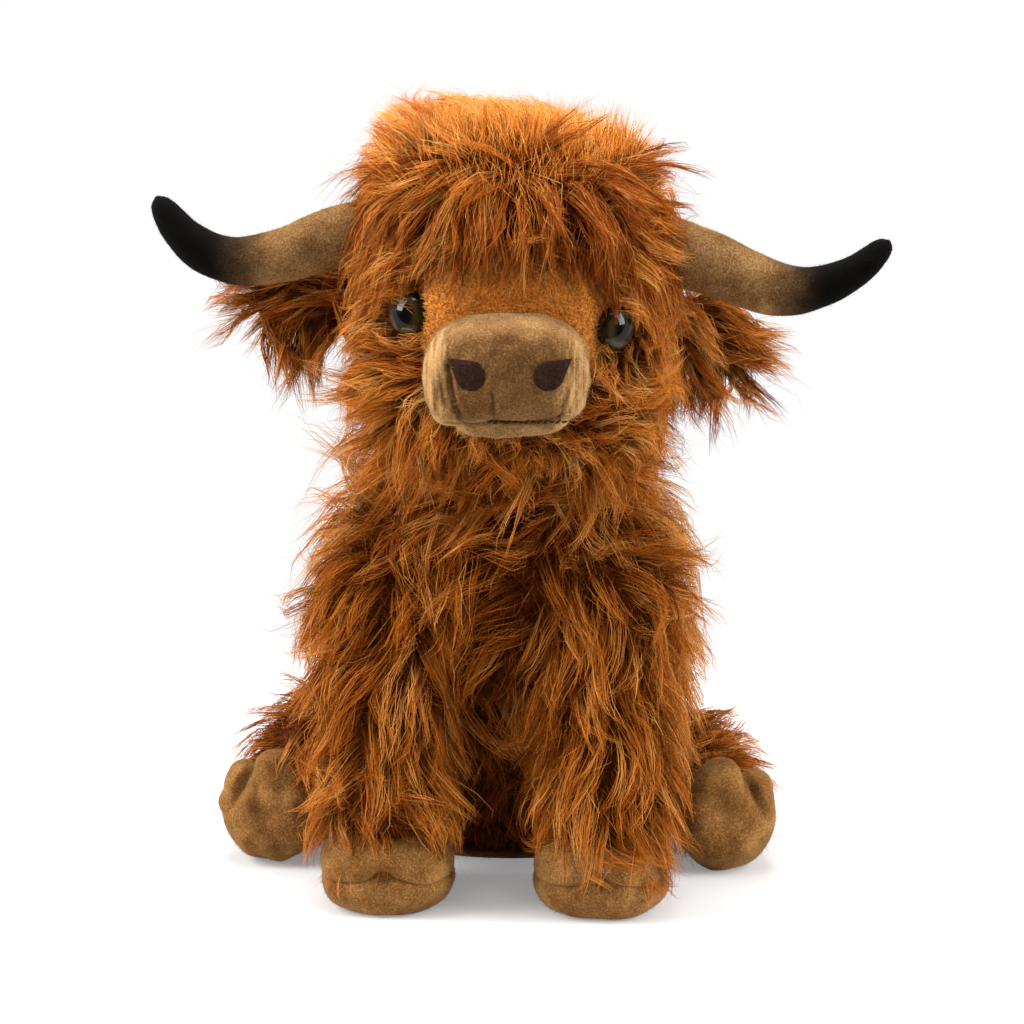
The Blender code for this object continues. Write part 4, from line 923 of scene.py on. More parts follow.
def muzzle_painted_light_and_nap(finish, place):
    """The muzzle's tone: a painted shade on the flat front, a painted light on the lip, for the light the
    floor sends up under it, and the most painted light at the sides, which the side lamps catch, with upright
    streaks of nap along the front's rim, where the cloth is drawn in."""
    apart = finish.node("VectorMath", {"operation": "SUBTRACT"}, _0=place, _1=(0.0078, 0.0, 0.0))
    stretched = finish.node("VectorMath", {"operation": "MULTIPLY"}, _0=place, _1=(1.0, 0.08, 0.10))
    streaks = finish.node("TexNoise", Vector=stretched, Scale=700.0, Detail=2.0)
    aside = finish.node("SeparateXYZ", Vector=apart, output=0).math("ABSOLUTE")
    side = ((aside - 0.0165) * 130.0).held()
    depth = finish.node("SeparateXYZ", Vector=place, output=1)
    front = ((depth * -1.0 - 0.131) * 260.0).held()
    rim = ((depth * -1.0 - 0.116) * 90.0).held()
    level = finish.node("SeparateXYZ", Vector=place, output=2)
    # Painted light on the lip, for the light the floor sends up.
    lip = ((level * -1.0 + 0.1935) * 700.0).held()
    drawn = (streaks * 0.9 - 0.38) * rim + 0.06
    # Painted light at the sides and painted shade on the flat front, with the nap's streaks along the rim.
    return side * drawn + lip * 0.09 - front * (side * -1.0 + 1.0) * 0.05


tan = plush_finish(
    "tan_velour", (0.225, 0.108, 0.034), (0.40, 0.225, 0.085), (0.115, 0.048, 0.012), nap_and_painted_light=muzzle_painted_light_and_nap
)


def on_muzzle(points):
    """From the muzzle's own frame to the object's. The muzzle is sewn on level, so it is turned back by
    the head's roll about its own middle."""
    middle = np.array([0, 0, MUZZLE_MIDDLE])
    return on_head((np.asarray(points) - middle) @ TURN_HEAD + middle)


def beside_line(x, z, start, end):
    """The distance of each point from a line between two places, seen from the front."""
    start, end = np.array(start), np.array(end)
    run = end - start
    at = np.clip(((x - start[0]) * run[0] + (z - start[1]) * run[1]) / (run @ run), 0, 1)
    return np.hypot(x - start[0] - at * run[0], z - start[1] - at * run[1])


# Creases: from, to, depth and width.
CREASES = (
    ((-0.0186, 0.0400), (-0.0138, 0.0205), 0.0019, 0.0007),
    ((-0.0180, 0.0345), (-0.0162, 0.0245), 0.0012, 0.0006),
    ((-0.0212, 0.0370), (-0.0190, 0.0260), 0.0009, 0.0006),
    ((-0.0038, 0.0310), (-0.0032, 0.0200), 0.0011, 0.0006),
    ((0.0238, 0.0380), (0.0180, 0.0220), 0.0010, 0.0008),
    ((0.0254, 0.0340), (0.0218, 0.0240), 0.0008, 0.0007),
)


def muzzle_grid():
    """A superellipse carried forwards and domed at the front, squarer and wider low down than at the
    top, and pushed in along creases: at a distance d from a crease by depth exp(-(d / width)^2)."""
    rows = curve_through(
        (
            (0.00, 0.90),
            (0.30, 0.97),
            (0.58, 1.00),
            (0.74, 0.985),
            (0.85, 0.935),
            (0.93, 0.84),
            (0.98, 0.71),
            (1.00, 0.58),
        ),
        96,
    )
    flat = np.linspace(0.57, 0.02, 50)
    dome = np.sqrt(1 - (flat / 0.60) ** 2) - math.sqrt(1 - (0.58 / 0.60) ** 2)
    length = np.concatenate([rows[:, 0], 1.0 + 0.045 * dome])
    size = np.concatenate([rows[:, 1], flat])
    along = MUZZLE_ROOT + (MUZZLE_FRONT - MUZZLE_ROOT) * length
    path = np.stack([0 * length, along, MUZZLE_MIDDLE + 0 * length], axis=1)
    half_width, half_height = MUZZLE_HALF_WIDTH * size, MUZZLE_HALF_HEIGHT * size
    grid = tube_grid(path, half_width, half_height, (1, 0, 0), around=200, square=2.75)
    x, y, z = grid[..., 0], grid[..., 1], grid[..., 2]
    rise = (z - MUZZLE_MIDDLE) / MUZZLE_HALF_HEIGHT
    x *= 1 - 0.085 * np.maximum(0, rise) ** 2 + 0.02 * bell((rise + 0.35) / 0.4)
    x *= 1 + 0.17 * ramp(-rise, 0.40, 0.5) ** 1.5
    z -= 0.0032 * np.clip(-rise, 0, 1) * ramp(-x, 0.008, 0.014)
    z -= 0.0014 * np.clip(-rise, 0, 1) * ramp(x, 0.012, 0.010)
    front = ramp(-y, 0.076, 0.010)
    for start, end, depth, wide in CREASES:
        y += front * depth * bell(beside_line(x, z, start, end) / wide)
    for side in (-1, 1):
        hollow = np.hypot((x - MUZZLE_ASIDE - side * 0.0135) / 1.15, z - 0.0365)
        y += front * 0.0007 * bell(hollow / 0.0075)
    near = np.abs(z - MOUTH_LEVEL - 0.0005 * np.sin(x * 230))
    y += front * ramp(-np.abs(x), -0.024, 0.004) * 0.0024 * bell(near / 0.0008)
    grid += 0.00022 * drifting(grid, 0.009, 5)
    return grid


LIP_MIDDLE, LIP_LEVEL, LIP_FRONT = 0.0018, 0.0190, -0.0925
LIP_HALF_WIDTH, LIP_HALF_HEIGHT = 0.0195, 0.0045


def lip_grid():
    """The lip: a narrow, flat superellipse under the muzzle, its front set back from it, and deeper on
    its left than on its right."""
    rows = ((0.0, 0.85), (0.6, 1.0), (0.8, 0.97), (0.92, 0.84), (0.98, 0.55), (1.0, 0.12))
    length, size = curve_through(rows, 60).T
    along = MUZZLE_ROOT + (LIP_FRONT - MUZZLE_ROOT) * length
    path = np.stack([LIP_MIDDLE + 0 * length, along, LIP_LEVEL + 0 * length], axis=1)
    half_width, half_height = LIP_HALF_WIDTH * size, LIP_HALF_HEIGHT * size
    grid = tube_grid(path, half_width, half_height, (1, 0, 0), around=110, square=2.3)
    low = np.clip((LIP_LEVEL - grid[..., 2]) / LIP_HALF_HEIGHT, 0, 1)
    grid[..., 2] -= 0.0012 * low * np.clip(0.3 - grid[..., 0] / 0.012, 0, 1)
    return grid + 0.0002 * drifting(grid, 0.010, 8)


muzzle_form = muzzle_grid()
for name, grid, node, count, seed in (
    ("muzzle", muzzle_form, "muzzle", 5500, 51),
    ("lip", lip_grid(), "lower_lip", 1800, 52),
):
    form = on_muzzle(grid)
    piece = add_mesh(f"{name}_velour", *closed_grid(form), tan)
    dressed(piece, "head", "tan_plush", node, fill=0.9)
    fuzz = fuzzed(f"{name}_nap", form, count, 0.0013, tan, seed)
    dressed(fuzz, "head", "tan_plush")

# The nostrils are two felt teardrops sewn flat on the muzzle, each drawn out to its upper outer corner.
felt = Finish("nostril_felt", Roughness=0.95, Specular_IOR_Level=0.1)
wool = felt.node("TexNoise", Vector=felt.node("TexCoord", output=3), Scale=1100.0, Detail=4.0, Roughness=0.7)
felt_stops = ((0.35, (0.020, 0.007, 0.005)), (0.7, (0.062, 0.024, 0.016)))
felt_paint = felt.node("ValToRGB", {"stops": felt_stops}, Fac=wool)
felt_bump = felt.node("Bump", Strength=0.6, Distance=0.0004, Height=wool)
felt_finish = felt.feed(Base_Color=felt_paint, Normal=felt_bump)


def muzzle_front(x, z):
    """The depth of the muzzle's front surface at places across and up it: the nearest grid point's."""
    face = muzzle_form.reshape(-1, 3)
    face = face[face[:, 1] < -0.07]
    flat = np.stack([x.ravel(), z.ravel()], axis=1)
    return face[nearest(flat, face[:, [0, 2]]), 1].reshape(x.shape)


# The ring is a circle with a corner where the tangents from the point meet it. Shares of the ring from
# the middle out, and the felt's height there, turned down at its edge.
NOSTRIL_RADIUS, NOSTRIL_POINT, NOSTRIL_TILT = 0.0051, 0.0096, math.radians(35)
NOSTRIL_ASIDE, NOSTRIL_LEVEL = 0.0131, 0.0370
turn = np.linspace(-math.pi, math.pi, 96, endpoint=False)
tangent_at = math.acos(NOSTRIL_RADIUS / NOSTRIL_POINT)
drawn = np.where(np.abs(turn) < tangent_at, 1 / np.cos(tangent_at - np.abs(turn)), 1.0)
tilt_c, tilt_s = math.cos(NOSTRIL_TILT), math.sin(NOSTRIL_TILT)
ring = NOSTRIL_RADIUS * drawn[:, None] * np.stack([np.cos(turn), np.sin(turn)], axis=1)
ring = ring @ np.array([[tilt_c, tilt_s], [-tilt_s, tilt_c]])
share = np.array([0.05, 0.35, 0.65, 0.85, 0.96, 1.0, 1.0])[:, None]
lift = np.array([0.0006, 0.0006, 0.0006, 0.00058, 0.0004, 0.0001, -0.0010])[:, None]
for side, name in ((-1, "left"), (1, "right")):
    x = MUZZLE_ASIDE + side * (NOSTRIL_ASIDE + share * ring[:, 0])
    z = NOSTRIL_LEVEL + share * ring[:, 1]
    patch = np.stack([x, muzzle_front(x, z) - lift, z], axis=-1)
    nostril = add_mesh(f"nostril_felt_{name}", *closed_grid(on_muzzle(patch)), felt_finish)
    dressed(nostril, "head", "nostril_felt", f"nostril_{name}")

# The mouth is a row of short back stitches in dark thread, laid in the crease over the lip.
thread = Finish("mouth_thread", Roughness=0.95, Specular_IOR_Level=0.05)
twist = thread.node(
    "TexWave", {"wave_type": "BANDS"}, Vector=thread.node("TexCoord", output=3), Scale=900.0
)
thread_stops = ((0.2, (0.030, 0.014, 0.006)), (0.8, (0.085, 0.043, 0.018)))
thread_paint = thread.node("ValToRGB", {"stops": thread_stops}, Fac=twist)
thread_bump = thread.node("Bump", Strength=0.4, Distance=0.0002, Height=twist)
thread_finish = thread.feed(Base_Color=thread_paint, Normal=thread_bump)
STITCHES, STITCH_HALF, STITCH_RADIUS, STITCH_FRONT = 13, 0.00095, 0.00036, -0.0922
stitch_points, stitch_faces = [], []
along = np.linspace(-1, 1, 9)
for number, x in enumerate(np.linspace(-0.0045, 0.0205, STITCHES)):
    tilt = 0.0003 + 0.0004 * math.sin(2.4 * number)
    run = np.stack([x + STITCH_HALF * along, 0 * along, MOUTH_LEVEL + 0.0012 + tilt * along], axis=1)
    run[:, 1] = STITCH_FRONT - 0.0004 * (1 - along**2) + 4.0 * (run[:, 0] - LIP_MIDDLE) ** 2
    radius = STITCH_RADIUS * np.sqrt(np.maximum(0.05, 1 - along**4))
    points, faces = closed_grid(on_muzzle(tube_grid(run, radius, radius, (0, 0, 1), around=8)))
    stitch_faces.append(np.where(faces < 0, -1, faces + number * len(points)))
    stitch_points.append(points)
points, faces = np.concatenate(stitch_points), np.concatenate(stitch_faces)
mouth = add_mesh("mouth_stitches", points, faces, thread_finish)
dressed(mouth, "head", "thread", "mouth_seam")

# The face patch is the same pile as the cheeks, sheared to 2 mm, in an arch from eye to eye over the muzzle.
# Its pile and its ground are given bright colours, painted light over the shade the forelock casts on it.
# Painted light: the sheared pile's dye is brighter than that of the cheek pile it is cut from.
sheared = pile_finish("sheared_pile", (0.84, 0.30, 0.045), (1.0, 0.46, 0.10), (1.0, 0.58, 0.17))
patch_turn = np.linspace(0, 2 * math.pi, 80, endpoint=False)
patch_share = np.array([1.0, 1.0, 0.97, 0.9, 0.78, 0.6, 0.38, 0.1])[:, None]
patch_rise = np.array([0.014, 0.007, 0.0030, 0.0014, 0.0004, 0.0, 0.0, 0.0])[:, None]
patch_c, patch_s = squared(patch_turn, 2.5)
patch_x = 0.0315 * patch_share * patch_c
patch_z = 0.050 + 0.0250 * patch_share * patch_s
patch_y = -0.0125 - 0.0545 * np.maximum(0, 1 - (np.abs(patch_x) / 0.058) ** 2.2) ** (1 / 2.2)
patch_y = patch_y + patch_rise + 0.12 * np.maximum(0, patch_z - 0.058)
face_skin = on_head(np.stack([patch_x, patch_y, patch_z], axis=-1))
# Painted light: the ground under the patch is bright for the same shade.
patch_plush_painted_light = plush_finish("sheared_ground", (0.76, 0.25, 0.034), (0.92, 0.36, 0.065), (0.52, 0.15, 0.015))
face_patch = add_mesh("face_patch", *closed_grid(face_skin), patch_plush_painted_light)
dressed(face_patch, "head", "trimmed_pile", "face_panel")
face_pile = fuzzed(
    "face_pile", face_skin, 17000, 0.0023, sheared, 56,
    lean=(0, 0.3, 1.6), fade=lambda p: (from_head(p)[..., 1] < -0.03) * 1.0, width=0.00030,
)
dressed(face_pile, "head", "trimmed_pile")

# Safety eyes: a domed acrylic cap with its iris painted behind, on a shank that a lock washer holds
# inside the head. The outline runs from the middle of the dome to its rim and down the shank.
EYE_RADIUS, EYE_DOME = 0.008, 0.0056
eye_skin = Finish("eye_acrylic", Roughness=0.03, Specular_IOR_Level=0.28)
eye_where = eye_skin.node("UVMap", {"uv_map": "OFBake"})
eye_out = eye_skin.node("SeparateXYZ", Vector=eye_where, output=1)
eye_round = eye_skin.node("SeparateXYZ", Vector=eye_where, output=0)
streaks = eye_skin.node("TexNoise", {"noise_dimensions": "2D"}, Vector=eye_where, Scale=26.0, Detail=3.0)
eye_stops = (
    (0.0, (0.002, 0.002, 0.002)),
    (0.40, (0.003, 0.003, 0.002)),
    (0.52, (0.012, 0.009, 0.003)),
    (0.68, (0.050, 0.036, 0.010)),
    (0.80, (0.018, 0.013, 0.004)),
    (0.90, (0.002, 0.002, 0.001)),
)
iris = eye_skin.node("ValToRGB", {"stops": eye_stops}, Fac=eye_out + (streaks - 0.5) * 0.12)
eye_finish = eye_skin.feed(Base_Color=iris)
DOME_RINGS, EYE_AROUND = 16, 64
lift = np.linspace(0.02, math.pi / 2, DOME_RINGS)
out = np.concatenate([EYE_RADIUS * np.sin(lift), [0.008, 0.0074, 0.0025, 0.0025, 0.0003]])
height = np.concatenate([EYE_DOME * np.cos(lift), [-0.0008, -0.0012, -0.0013, -0.0135, -0.0142]])
turn = np.linspace(0, 2 * math.pi, EYE_AROUND, endpoint=False)[:, None]
for side, name, aside, depth in (
    (-1, "left", math.radians(34), -0.0536),
    (1, "right", math.radians(48), -0.0545),
):
    looks = np.array([side * math.sin(aside), -math.cos(aside), 0.0])
    across = np.array([math.cos(aside), side * math.sin(aside), 0.0])
    grid = (
        np.array([side * EYE_ASIDE, depth, EYE_LEVEL])
        + height[:, None, None] * looks
        + out[:, None, None] * (np.cos(turn) * across + np.sin(turn) * np.array([0.0, 0.0, 1.0]))
    )
    points, faces = closed_grid(on_head(grid))
    level = np.concatenate([np.repeat(np.linspace(0.03, 0.97, len(out)), EYE_AROUND), [0.01, 0.99]])
    level[: DOME_RINGS * EYE_AROUND] = np.repeat(0.92 * out[:DOME_RINGS] / EYE_RADIUS, EYE_AROUND)
    around = np.concatenate([np.tile(np.arange(EYE_AROUND) / EYE_AROUND, len(out)), [0.5, 0.5]])
    uv = np.stack([0.01 + 0.97 * around[faces], 0.01 + 0.98 * level[faces]], axis=-1)
    wraps = np.ptp(np.where(faces < 0, around[faces[:, :1]], around[faces]), axis=1) > 0.6
    uv[wraps, :, 0] = np.where(uv[wraps, :, 0] < 0.5, 0.995, uv[wraps, :, 0])
    cap = add_mesh(f"eye_cap_{name}", points, faces, eye_finish, uv)
    dressed(cap, "head", "eye_plastic", f"eye_{name}")
washer = Finish("washer_plastic")
flow = washer.node("TexNoise", Vector=washer.node("TexCoord", output=3), Scale=300.0, Detail=2.0)
washer_stops = ((0.3, (0.62, 0.62, 0.58)), (0.7, (0.72, 0.72, 0.69)))
washer_paint = washer.node("ValToRGB", {"stops": washer_stops}, Fac=flow)
washer_finish = washer.feed(Base_Color=washer_paint, Roughness=flow * 0.15 + 0.33)
for name in ("eye_washer_left", "eye_washer_right"):
    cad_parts[name].data.materials.clear()
    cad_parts[name].data.materials.append(washer_finish)

# Horns of tan velour, stuffed hard and sewn along the back, with the outer third airbrushed black.
HORN_BLACK = (0.0022, 0.0018, 0.0014, 1)


def black_tips(finish, place, paint):
    """The dye, going over to black from 83 mm out on the left and from 100 mm out on the right."""
    reach = finish.node("SeparateXYZ", Vector=place, output=0)
    patchy = finish.node("TexNoise", Vector=place, Scale=160.0, Detail=3.0)
    left = (reach * -1.0 + patchy * 0.006 - 0.083) * 42.0
    right = (reach + patchy * 0.006 - 0.100) * 48.0
    spray = left.math("MAXIMUM", right, clamp=True)
    black = (spray * -1.0 + 1.0).math("POWER", 2.0, clamp=True) * -1.0 + 1.0
    return finish.node("Mix", {"data_type": "RGBA"}, output=2, _0=black, _6=paint, _7=HORN_BLACK)


horn_plush = plush_finish(
    "horn_velour", (0.205, 0.100, 0.032), (0.38, 0.215, 0.085), (0.10, 0.044, 0.012),
    sprayed=black_tips, sheen=0.0,
)
# Shares: length, dip under the root's height, diameter. The left horn is bent a little more sharply.
horn_tables = {
    "left": (
        (0.00, 0.00, 0.96),
        (0.20, 0.08, 0.91),
        (0.38, 0.38, 0.84),
        (0.52, 0.88, 0.75),
        (0.64, 1.17, 0.69),
        (0.74, 1.20, 0.64),
        (0.84, 0.93, 0.57),
        (0.91, 0.47, 0.50),
        (0.955, 0.00, 0.42),
        (0.98, -0.33, 0.32),
        (0.993, -0.53, 0.20),
        (1.00, -0.65, 0.03),
    ),
    "right": (
        (0.00, 0.00, 1.00),
        (0.20, 0.06, 0.95),
        (0.38, 0.38, 0.86),
        (0.52, 0.78, 0.79),
        (0.64, 1.01, 0.71),
        (0.74, 0.90, 0.61),
        (0.84, 0.53, 0.50),
        (0.91, 0.12, 0.42),
        (0.955, -0.28, 0.34),
        (0.98, -0.55, 0.26),
        (0.993, -0.69, 0.16),
        (1.00, -0.77, 0.03),
    ),
}
HORN_ROOT, HORN_REACH = np.array([0.030, -0.013, 0.0755]), np.array([0.101, -0.017, -0.0117])
HORN_RADIUS = 0.01325
for side, name in ((-1, "left"), (1, "right")):
    length, dip, size = curve_through(horn_tables[name], 96).T
    path = HORN_ROOT + HORN_REACH * np.stack([length, length, dip], axis=1)
    path[:, 0] *= side
    grid = tube_grid(path, HORN_RADIUS * size, HORN_RADIUS * size, (0, 1, 0), around=48)
    grid += 0.00012 * drifting(grid, 0.012, 6)
    form = on_head(grid)
    horn = add_mesh(f"horn_velour_{name}", *closed_grid(form), horn_plush)
    dressed(horn, "head", "tan_plush", f"horn_{name}", fill=1.0)
    fuzz = fuzzed(f"horn_nap_{name}", form, 3600, 0.0010, horn_plush, 60 + side, lean=(side, 0, 0))
    dressed(fuzz, "head", "tan_plush")

# Ears: a flat leaf of long pile that droops from its root, with a short dark lining in front and a
# fringe of long hair along its lower edge and tip.
EAR_ROOT = np.array([0.0585, 0.010, 0.050])
EAR_LENGTH, EAR_SAG = 0.056, 0.006
# On each side: droop, sweep back, and how far the cloth stops short of the hair.
EAR_HANG = {-1: (math.radians(3), math.radians(-10), 0.014), 1: (math.radians(34), math.radians(30), 0.022)}
lining = backing_finish("ear_lining", (0.075, 0.022, 0.006))
# Shares: length, half height, half thickness.
ear_rows = curve_through(
    (
        (0.00, 0.26, 0.60),
        (0.16, 0.40, 0.70),
        (0.36, 0.80, 1.00),
        (0.56, 0.96, 1.00),
        (0.76, 0.82, 0.90),
        (0.92, 0.50, 0.65),
        (1.00, 0.05, 0.10),
    ),
    44,
)


def ear_line(side, out):
    """The ear's middle line at distances out from its root: it droops, sweeps and sags with the square
    of its reach."""
    droop, sweep, _ = EAR_HANG[side]
    level = out * math.cos(droop)
    x = side * (EAR_ROOT[0] + level * math.cos(sweep))
    z = EAR_ROOT[2] - out * math.sin(droop) - EAR_SAG * (out / EAR_LENGTH) ** 2
    return np.stack([x, EAR_ROOT[1] + level * math.sin(sweep), z], axis=-1)


def leaf(side, start, length, height, thickness, forward, trim=0.0):
    """A flat oval carried out from the ear's root along its middle line."""
    along, tall, thick = ear_rows.T
    path = ear_line(side, start + (length - start - trim) * along) + np.array([0, forward, 0])
    return on_head(tube_grid(path, thickness / 2 * thick, height / 2 * tall, (0, 1, 0), around=56))


for side, name in ((-1, "left"), (1, "right")):
    body = f"ear_{name}"
    skin = leaf(side, -0.004, EAR_LENGTH, 0.032, 0.008, -0.004, trim=EAR_HANG[side][2])
    cloth = add_mesh(f"ear_cloth_{name}", *closed_grid(skin), backing)
    dressed(cloth, body, "long_pile", f"ear_{name}", fill=0.4)
    inner_skin = leaf(side, 0.006, 0.030, 0.020, 0.003, -0.009)
    inner = add_mesh(f"ear_lining_plush_{name}", *closed_grid(inner_skin), lining)
    dressed(inner, body, "lining_plush", f"ear_lining_{name}", fill=0.3)

    def under_line(points, side=side):
        """-1 over the ear's middle line, 1 under it, and the distance out along it."""
        local = from_head(points)
        out = (local[..., 0] * side - EAR_ROOT[0]) / math.cos(EAR_HANG[side][1])
        level = ear_line(side, out)[..., 2]
        return np.clip((level - local[..., 2]) / 0.010, -1, 1), out

    def along_ear(points, normals, side=side):
        """Outwards along the ear, and down under its middle line."""
        low = np.maximum(0, under_line(points)[0])
        down = -0.16 - 0.28 * side - 0.90 * low
        return np.stack([side * (1.0 - 0.6 * low), -0.15 + 0 * low, down], axis=1) @ TURN_HEAD.T

    def ear_length(points):
        """24 mm over the middle line and 31 mm under it."""
        return np.interp(under_line(points)[0], [-0.5, 0.8], [0.024, 0.031])

    def not_on_lining(points, side=side):
        """Full on the back and the rim, and thin on the front, where the lining is."""
        local = from_head(points)
        low, out = under_line(points)
        front = local[..., 1] < ear_line(side, out)[..., 1] - 0.005
        return np.where(front & (out > 0.004) & (np.abs(low) < 0.9), 0.35, 1.0)

    hair = furred(
        f"ear_pile_{name}", skin, 3000, 120, along_ear, ear_length,
        lambda p: np.full(len(p), 26.0), 70 + side, ginger,
        density=not_on_lining, rings=BACK_RINGS, loft=0.007, swirl=0.5, sag=0.25, wander=0.3,
    )
    dressed(hair, body, "long_pile")

# Front legs: long stuffed tubes under the same pile, which hangs down over the hooves.
for side, name in ((-1, "left"), (1, "right")):
    body = f"front_leg_{name}"
    # Shares: length, half width, half depth, forward slope.
    rows = curve_through(
        (
            (0.00, 0.05, 0.05, 0.00),
            (0.03, 0.55, 0.55, 0.00),
            (0.12, 0.90, 0.92, 0.02),
            (0.35, 1.00, 1.00, 0.20),
            (0.65, 1.00, 1.00, 0.62),
            (0.90, 0.95, 0.95, 0.95),
            (1.00, 0.80, 0.80, 1.00),
        ),
        46,
    )
    length, width, depth, slope = rows.T
    aside = side * 0.0412 - side * 0.001 * length
    path = np.stack([aside, -0.062 - 0.017 * slope, 0.134 - 0.112 * length], axis=1)
    skin = tube_grid(path, 0.0203 * width, 0.0190 * depth, (1, 0, 0), around=60, square=2.1)
    cloth = add_mesh(f"front_leg_cloth_{name}", *closed_grid(skin), backing)
    dressed(cloth, body, "long_pile", f"front_leg_{name}", fill=0.85)

    def down_leg(points, normals, side=side):
        """Down, a little outwards and forwards, and more so on the shoulder's top."""
        top = ramp(points[:, 2], 0.105, 0.02)
        way = normals * 0.25
        way[:, 2] = -1.0
        way[:, 0] += (0.25 + 1.1 * top) * side
        way[:, 1] -= 0.9 * top
        return way

    hair = furred(
        f"front_leg_pile_{name}", skin, 5600, 250, down_leg,
        lambda p: np.interp(p[:, 2], [0.02, 0.05], [0.022, 0.032]),
        lambda p: np.full(len(p), 34.0), 80 + side, ginger,
        loft=0.013, swirl=0.6, curl=0.11, wander=0.45,
    )
    under = f"front_leg_undercoat_{name}"
    fluff = fuzzed(under, skin, 4200, 0.010, undercoat, 84 + side, width=UNDERCOAT_WIDTH)
    for part in (hair, fluff):
        dressed(part, body, "long_pile")

# Front hooves: a velour cap over a sole panel that turns up at the front. The seam between them is
# pulled into the stuffing by one stitch, which draws creases towards it.
hoof_plush = plush_finish("hoof_velour", (0.210, 0.091, 0.022), (0.40, 0.205, 0.063), (0.105, 0.038, 0.008))
HOOF_HEIGHT, HOOF_RADIUS, SOLE_SEAM = 0.034, 0.0245, 0.0125


def hoof_grid(middle, seed):
    """A dome with a rolled foot, split by its seam. The ring at v lies at a share of the seam's height
    below it, and at a share of the rest above it. Its radius is the profile's, less the seam's groove,
    the stitch's pull, the dip under it and the creases round it, plus a swell on each side of the seam."""
    # Shares: place along the outline, height below the seam, height above it, radius.
    rows = curve_through(
        (
            (0.00, 0.00, 0.00, 0.04),
            (0.08, 0.00, 0.00, 0.50),
            (0.14, 0.01, 0.00, 0.70),
            (0.22, 0.14, 0.00, 0.85),
            (0.33, 0.55, 0.00, 0.97),
            (0.45, 1.00, 0.00, 1.00),
            (0.62, 1.00, 0.40, 0.96),
            (0.76, 1.00, 0.70, 0.83),
            (0.88, 1.00, 0.90, 0.58),
            (0.96, 1.00, 0.99, 0.25),
            (1.00, 1.00, 1.00, 0.04),
        ),
        76,
    )
    along, low, high, size = np.clip(rows, 0, 1).T[:, :, None]
    turn = np.linspace(0, 2 * math.pi, 120, endpoint=False)
    from_front = (turn - 1.5 * math.pi + math.pi) % (2 * math.pi) - math.pi
    across = from_front * HOOF_RADIUS
    seam = SOLE_SEAM + 0.0045 * bell(np.abs(across) / 0.013, 1.5) * (np.abs(from_front) < 1.7)
    level = seam * low + (HOOF_HEIGHT - seam) * high
    up = level - seam
    front = np.clip(1.9 - np.abs(from_front), 0, 1)
    away = np.hypot(across / 1.2, up)
    fold = np.arctan2(up, across)
    radius = HOOF_RADIUS * size
    loss = 0.0010 * bell(up / 0.0007) * (0.25 + 0.75 * front) + 0.0042 * bell(away / 0.0034)
    loss = loss + 0.0028 * bell(across / 0.0034) * bell((up + 0.006) / 0.0065)
    loss = loss + 0.0004 * np.cos(6 * fold + seed) * bell((away - 0.006) / 0.003)
    loss = loss - 0.0010 * bell((up + 0.0055) / 0.0045) - 0.0006 * bell((up - 0.005) / 0.004)
    radius = radius - loss * np.clip((size - 0.5) * 4, 0, 1)
    c, s = squared(turn, 2.25)
    grid = np.empty((len(along), len(turn), 3))
    grid[..., 0] = middle[0] + radius * c
    grid[..., 1] = middle[1] + radius * s
    grid[..., 2] = level
    shift = 0.00035 * drifting(grid, 0.016, seed)
    shift[..., 2] *= np.clip(level / 0.004, 0, 1)
    return grid + shift, int(np.argmax(low[:, 0] > 0.999))


def above_floor(points):
    """1 over the floor, and 0 on it."""
    return (points[..., 2] > 0.0012) * 1.0


for side, name in ((-1, "left"), (1, "right")):
    form, row = hoof_grid((side * 0.040, -0.0775), 7 + side)
    hoof = add_mesh(f"front_hoof_velour_{name}", *closed_grid(form[row:]), hoof_plush)
    sole = add_mesh(f"front_sole_velour_{name}", *closed_grid(form[: row + 1]), hoof_plush)
    body = f"front_leg_{name}"
    dressed(hoof, body, "tan_plush", f"front_hoof_{name}", fill=0.9)
    dressed(sole, body, "tan_plush", f"front_sole_{name}", fill=0.9)
    fuzz = fuzzed(f"front_hoof_nap_{name}", form, 2600, 0.0010, hoof_plush, 90 + side, fade=above_floor)
    dressed(fuzz, body, "tan_plush")

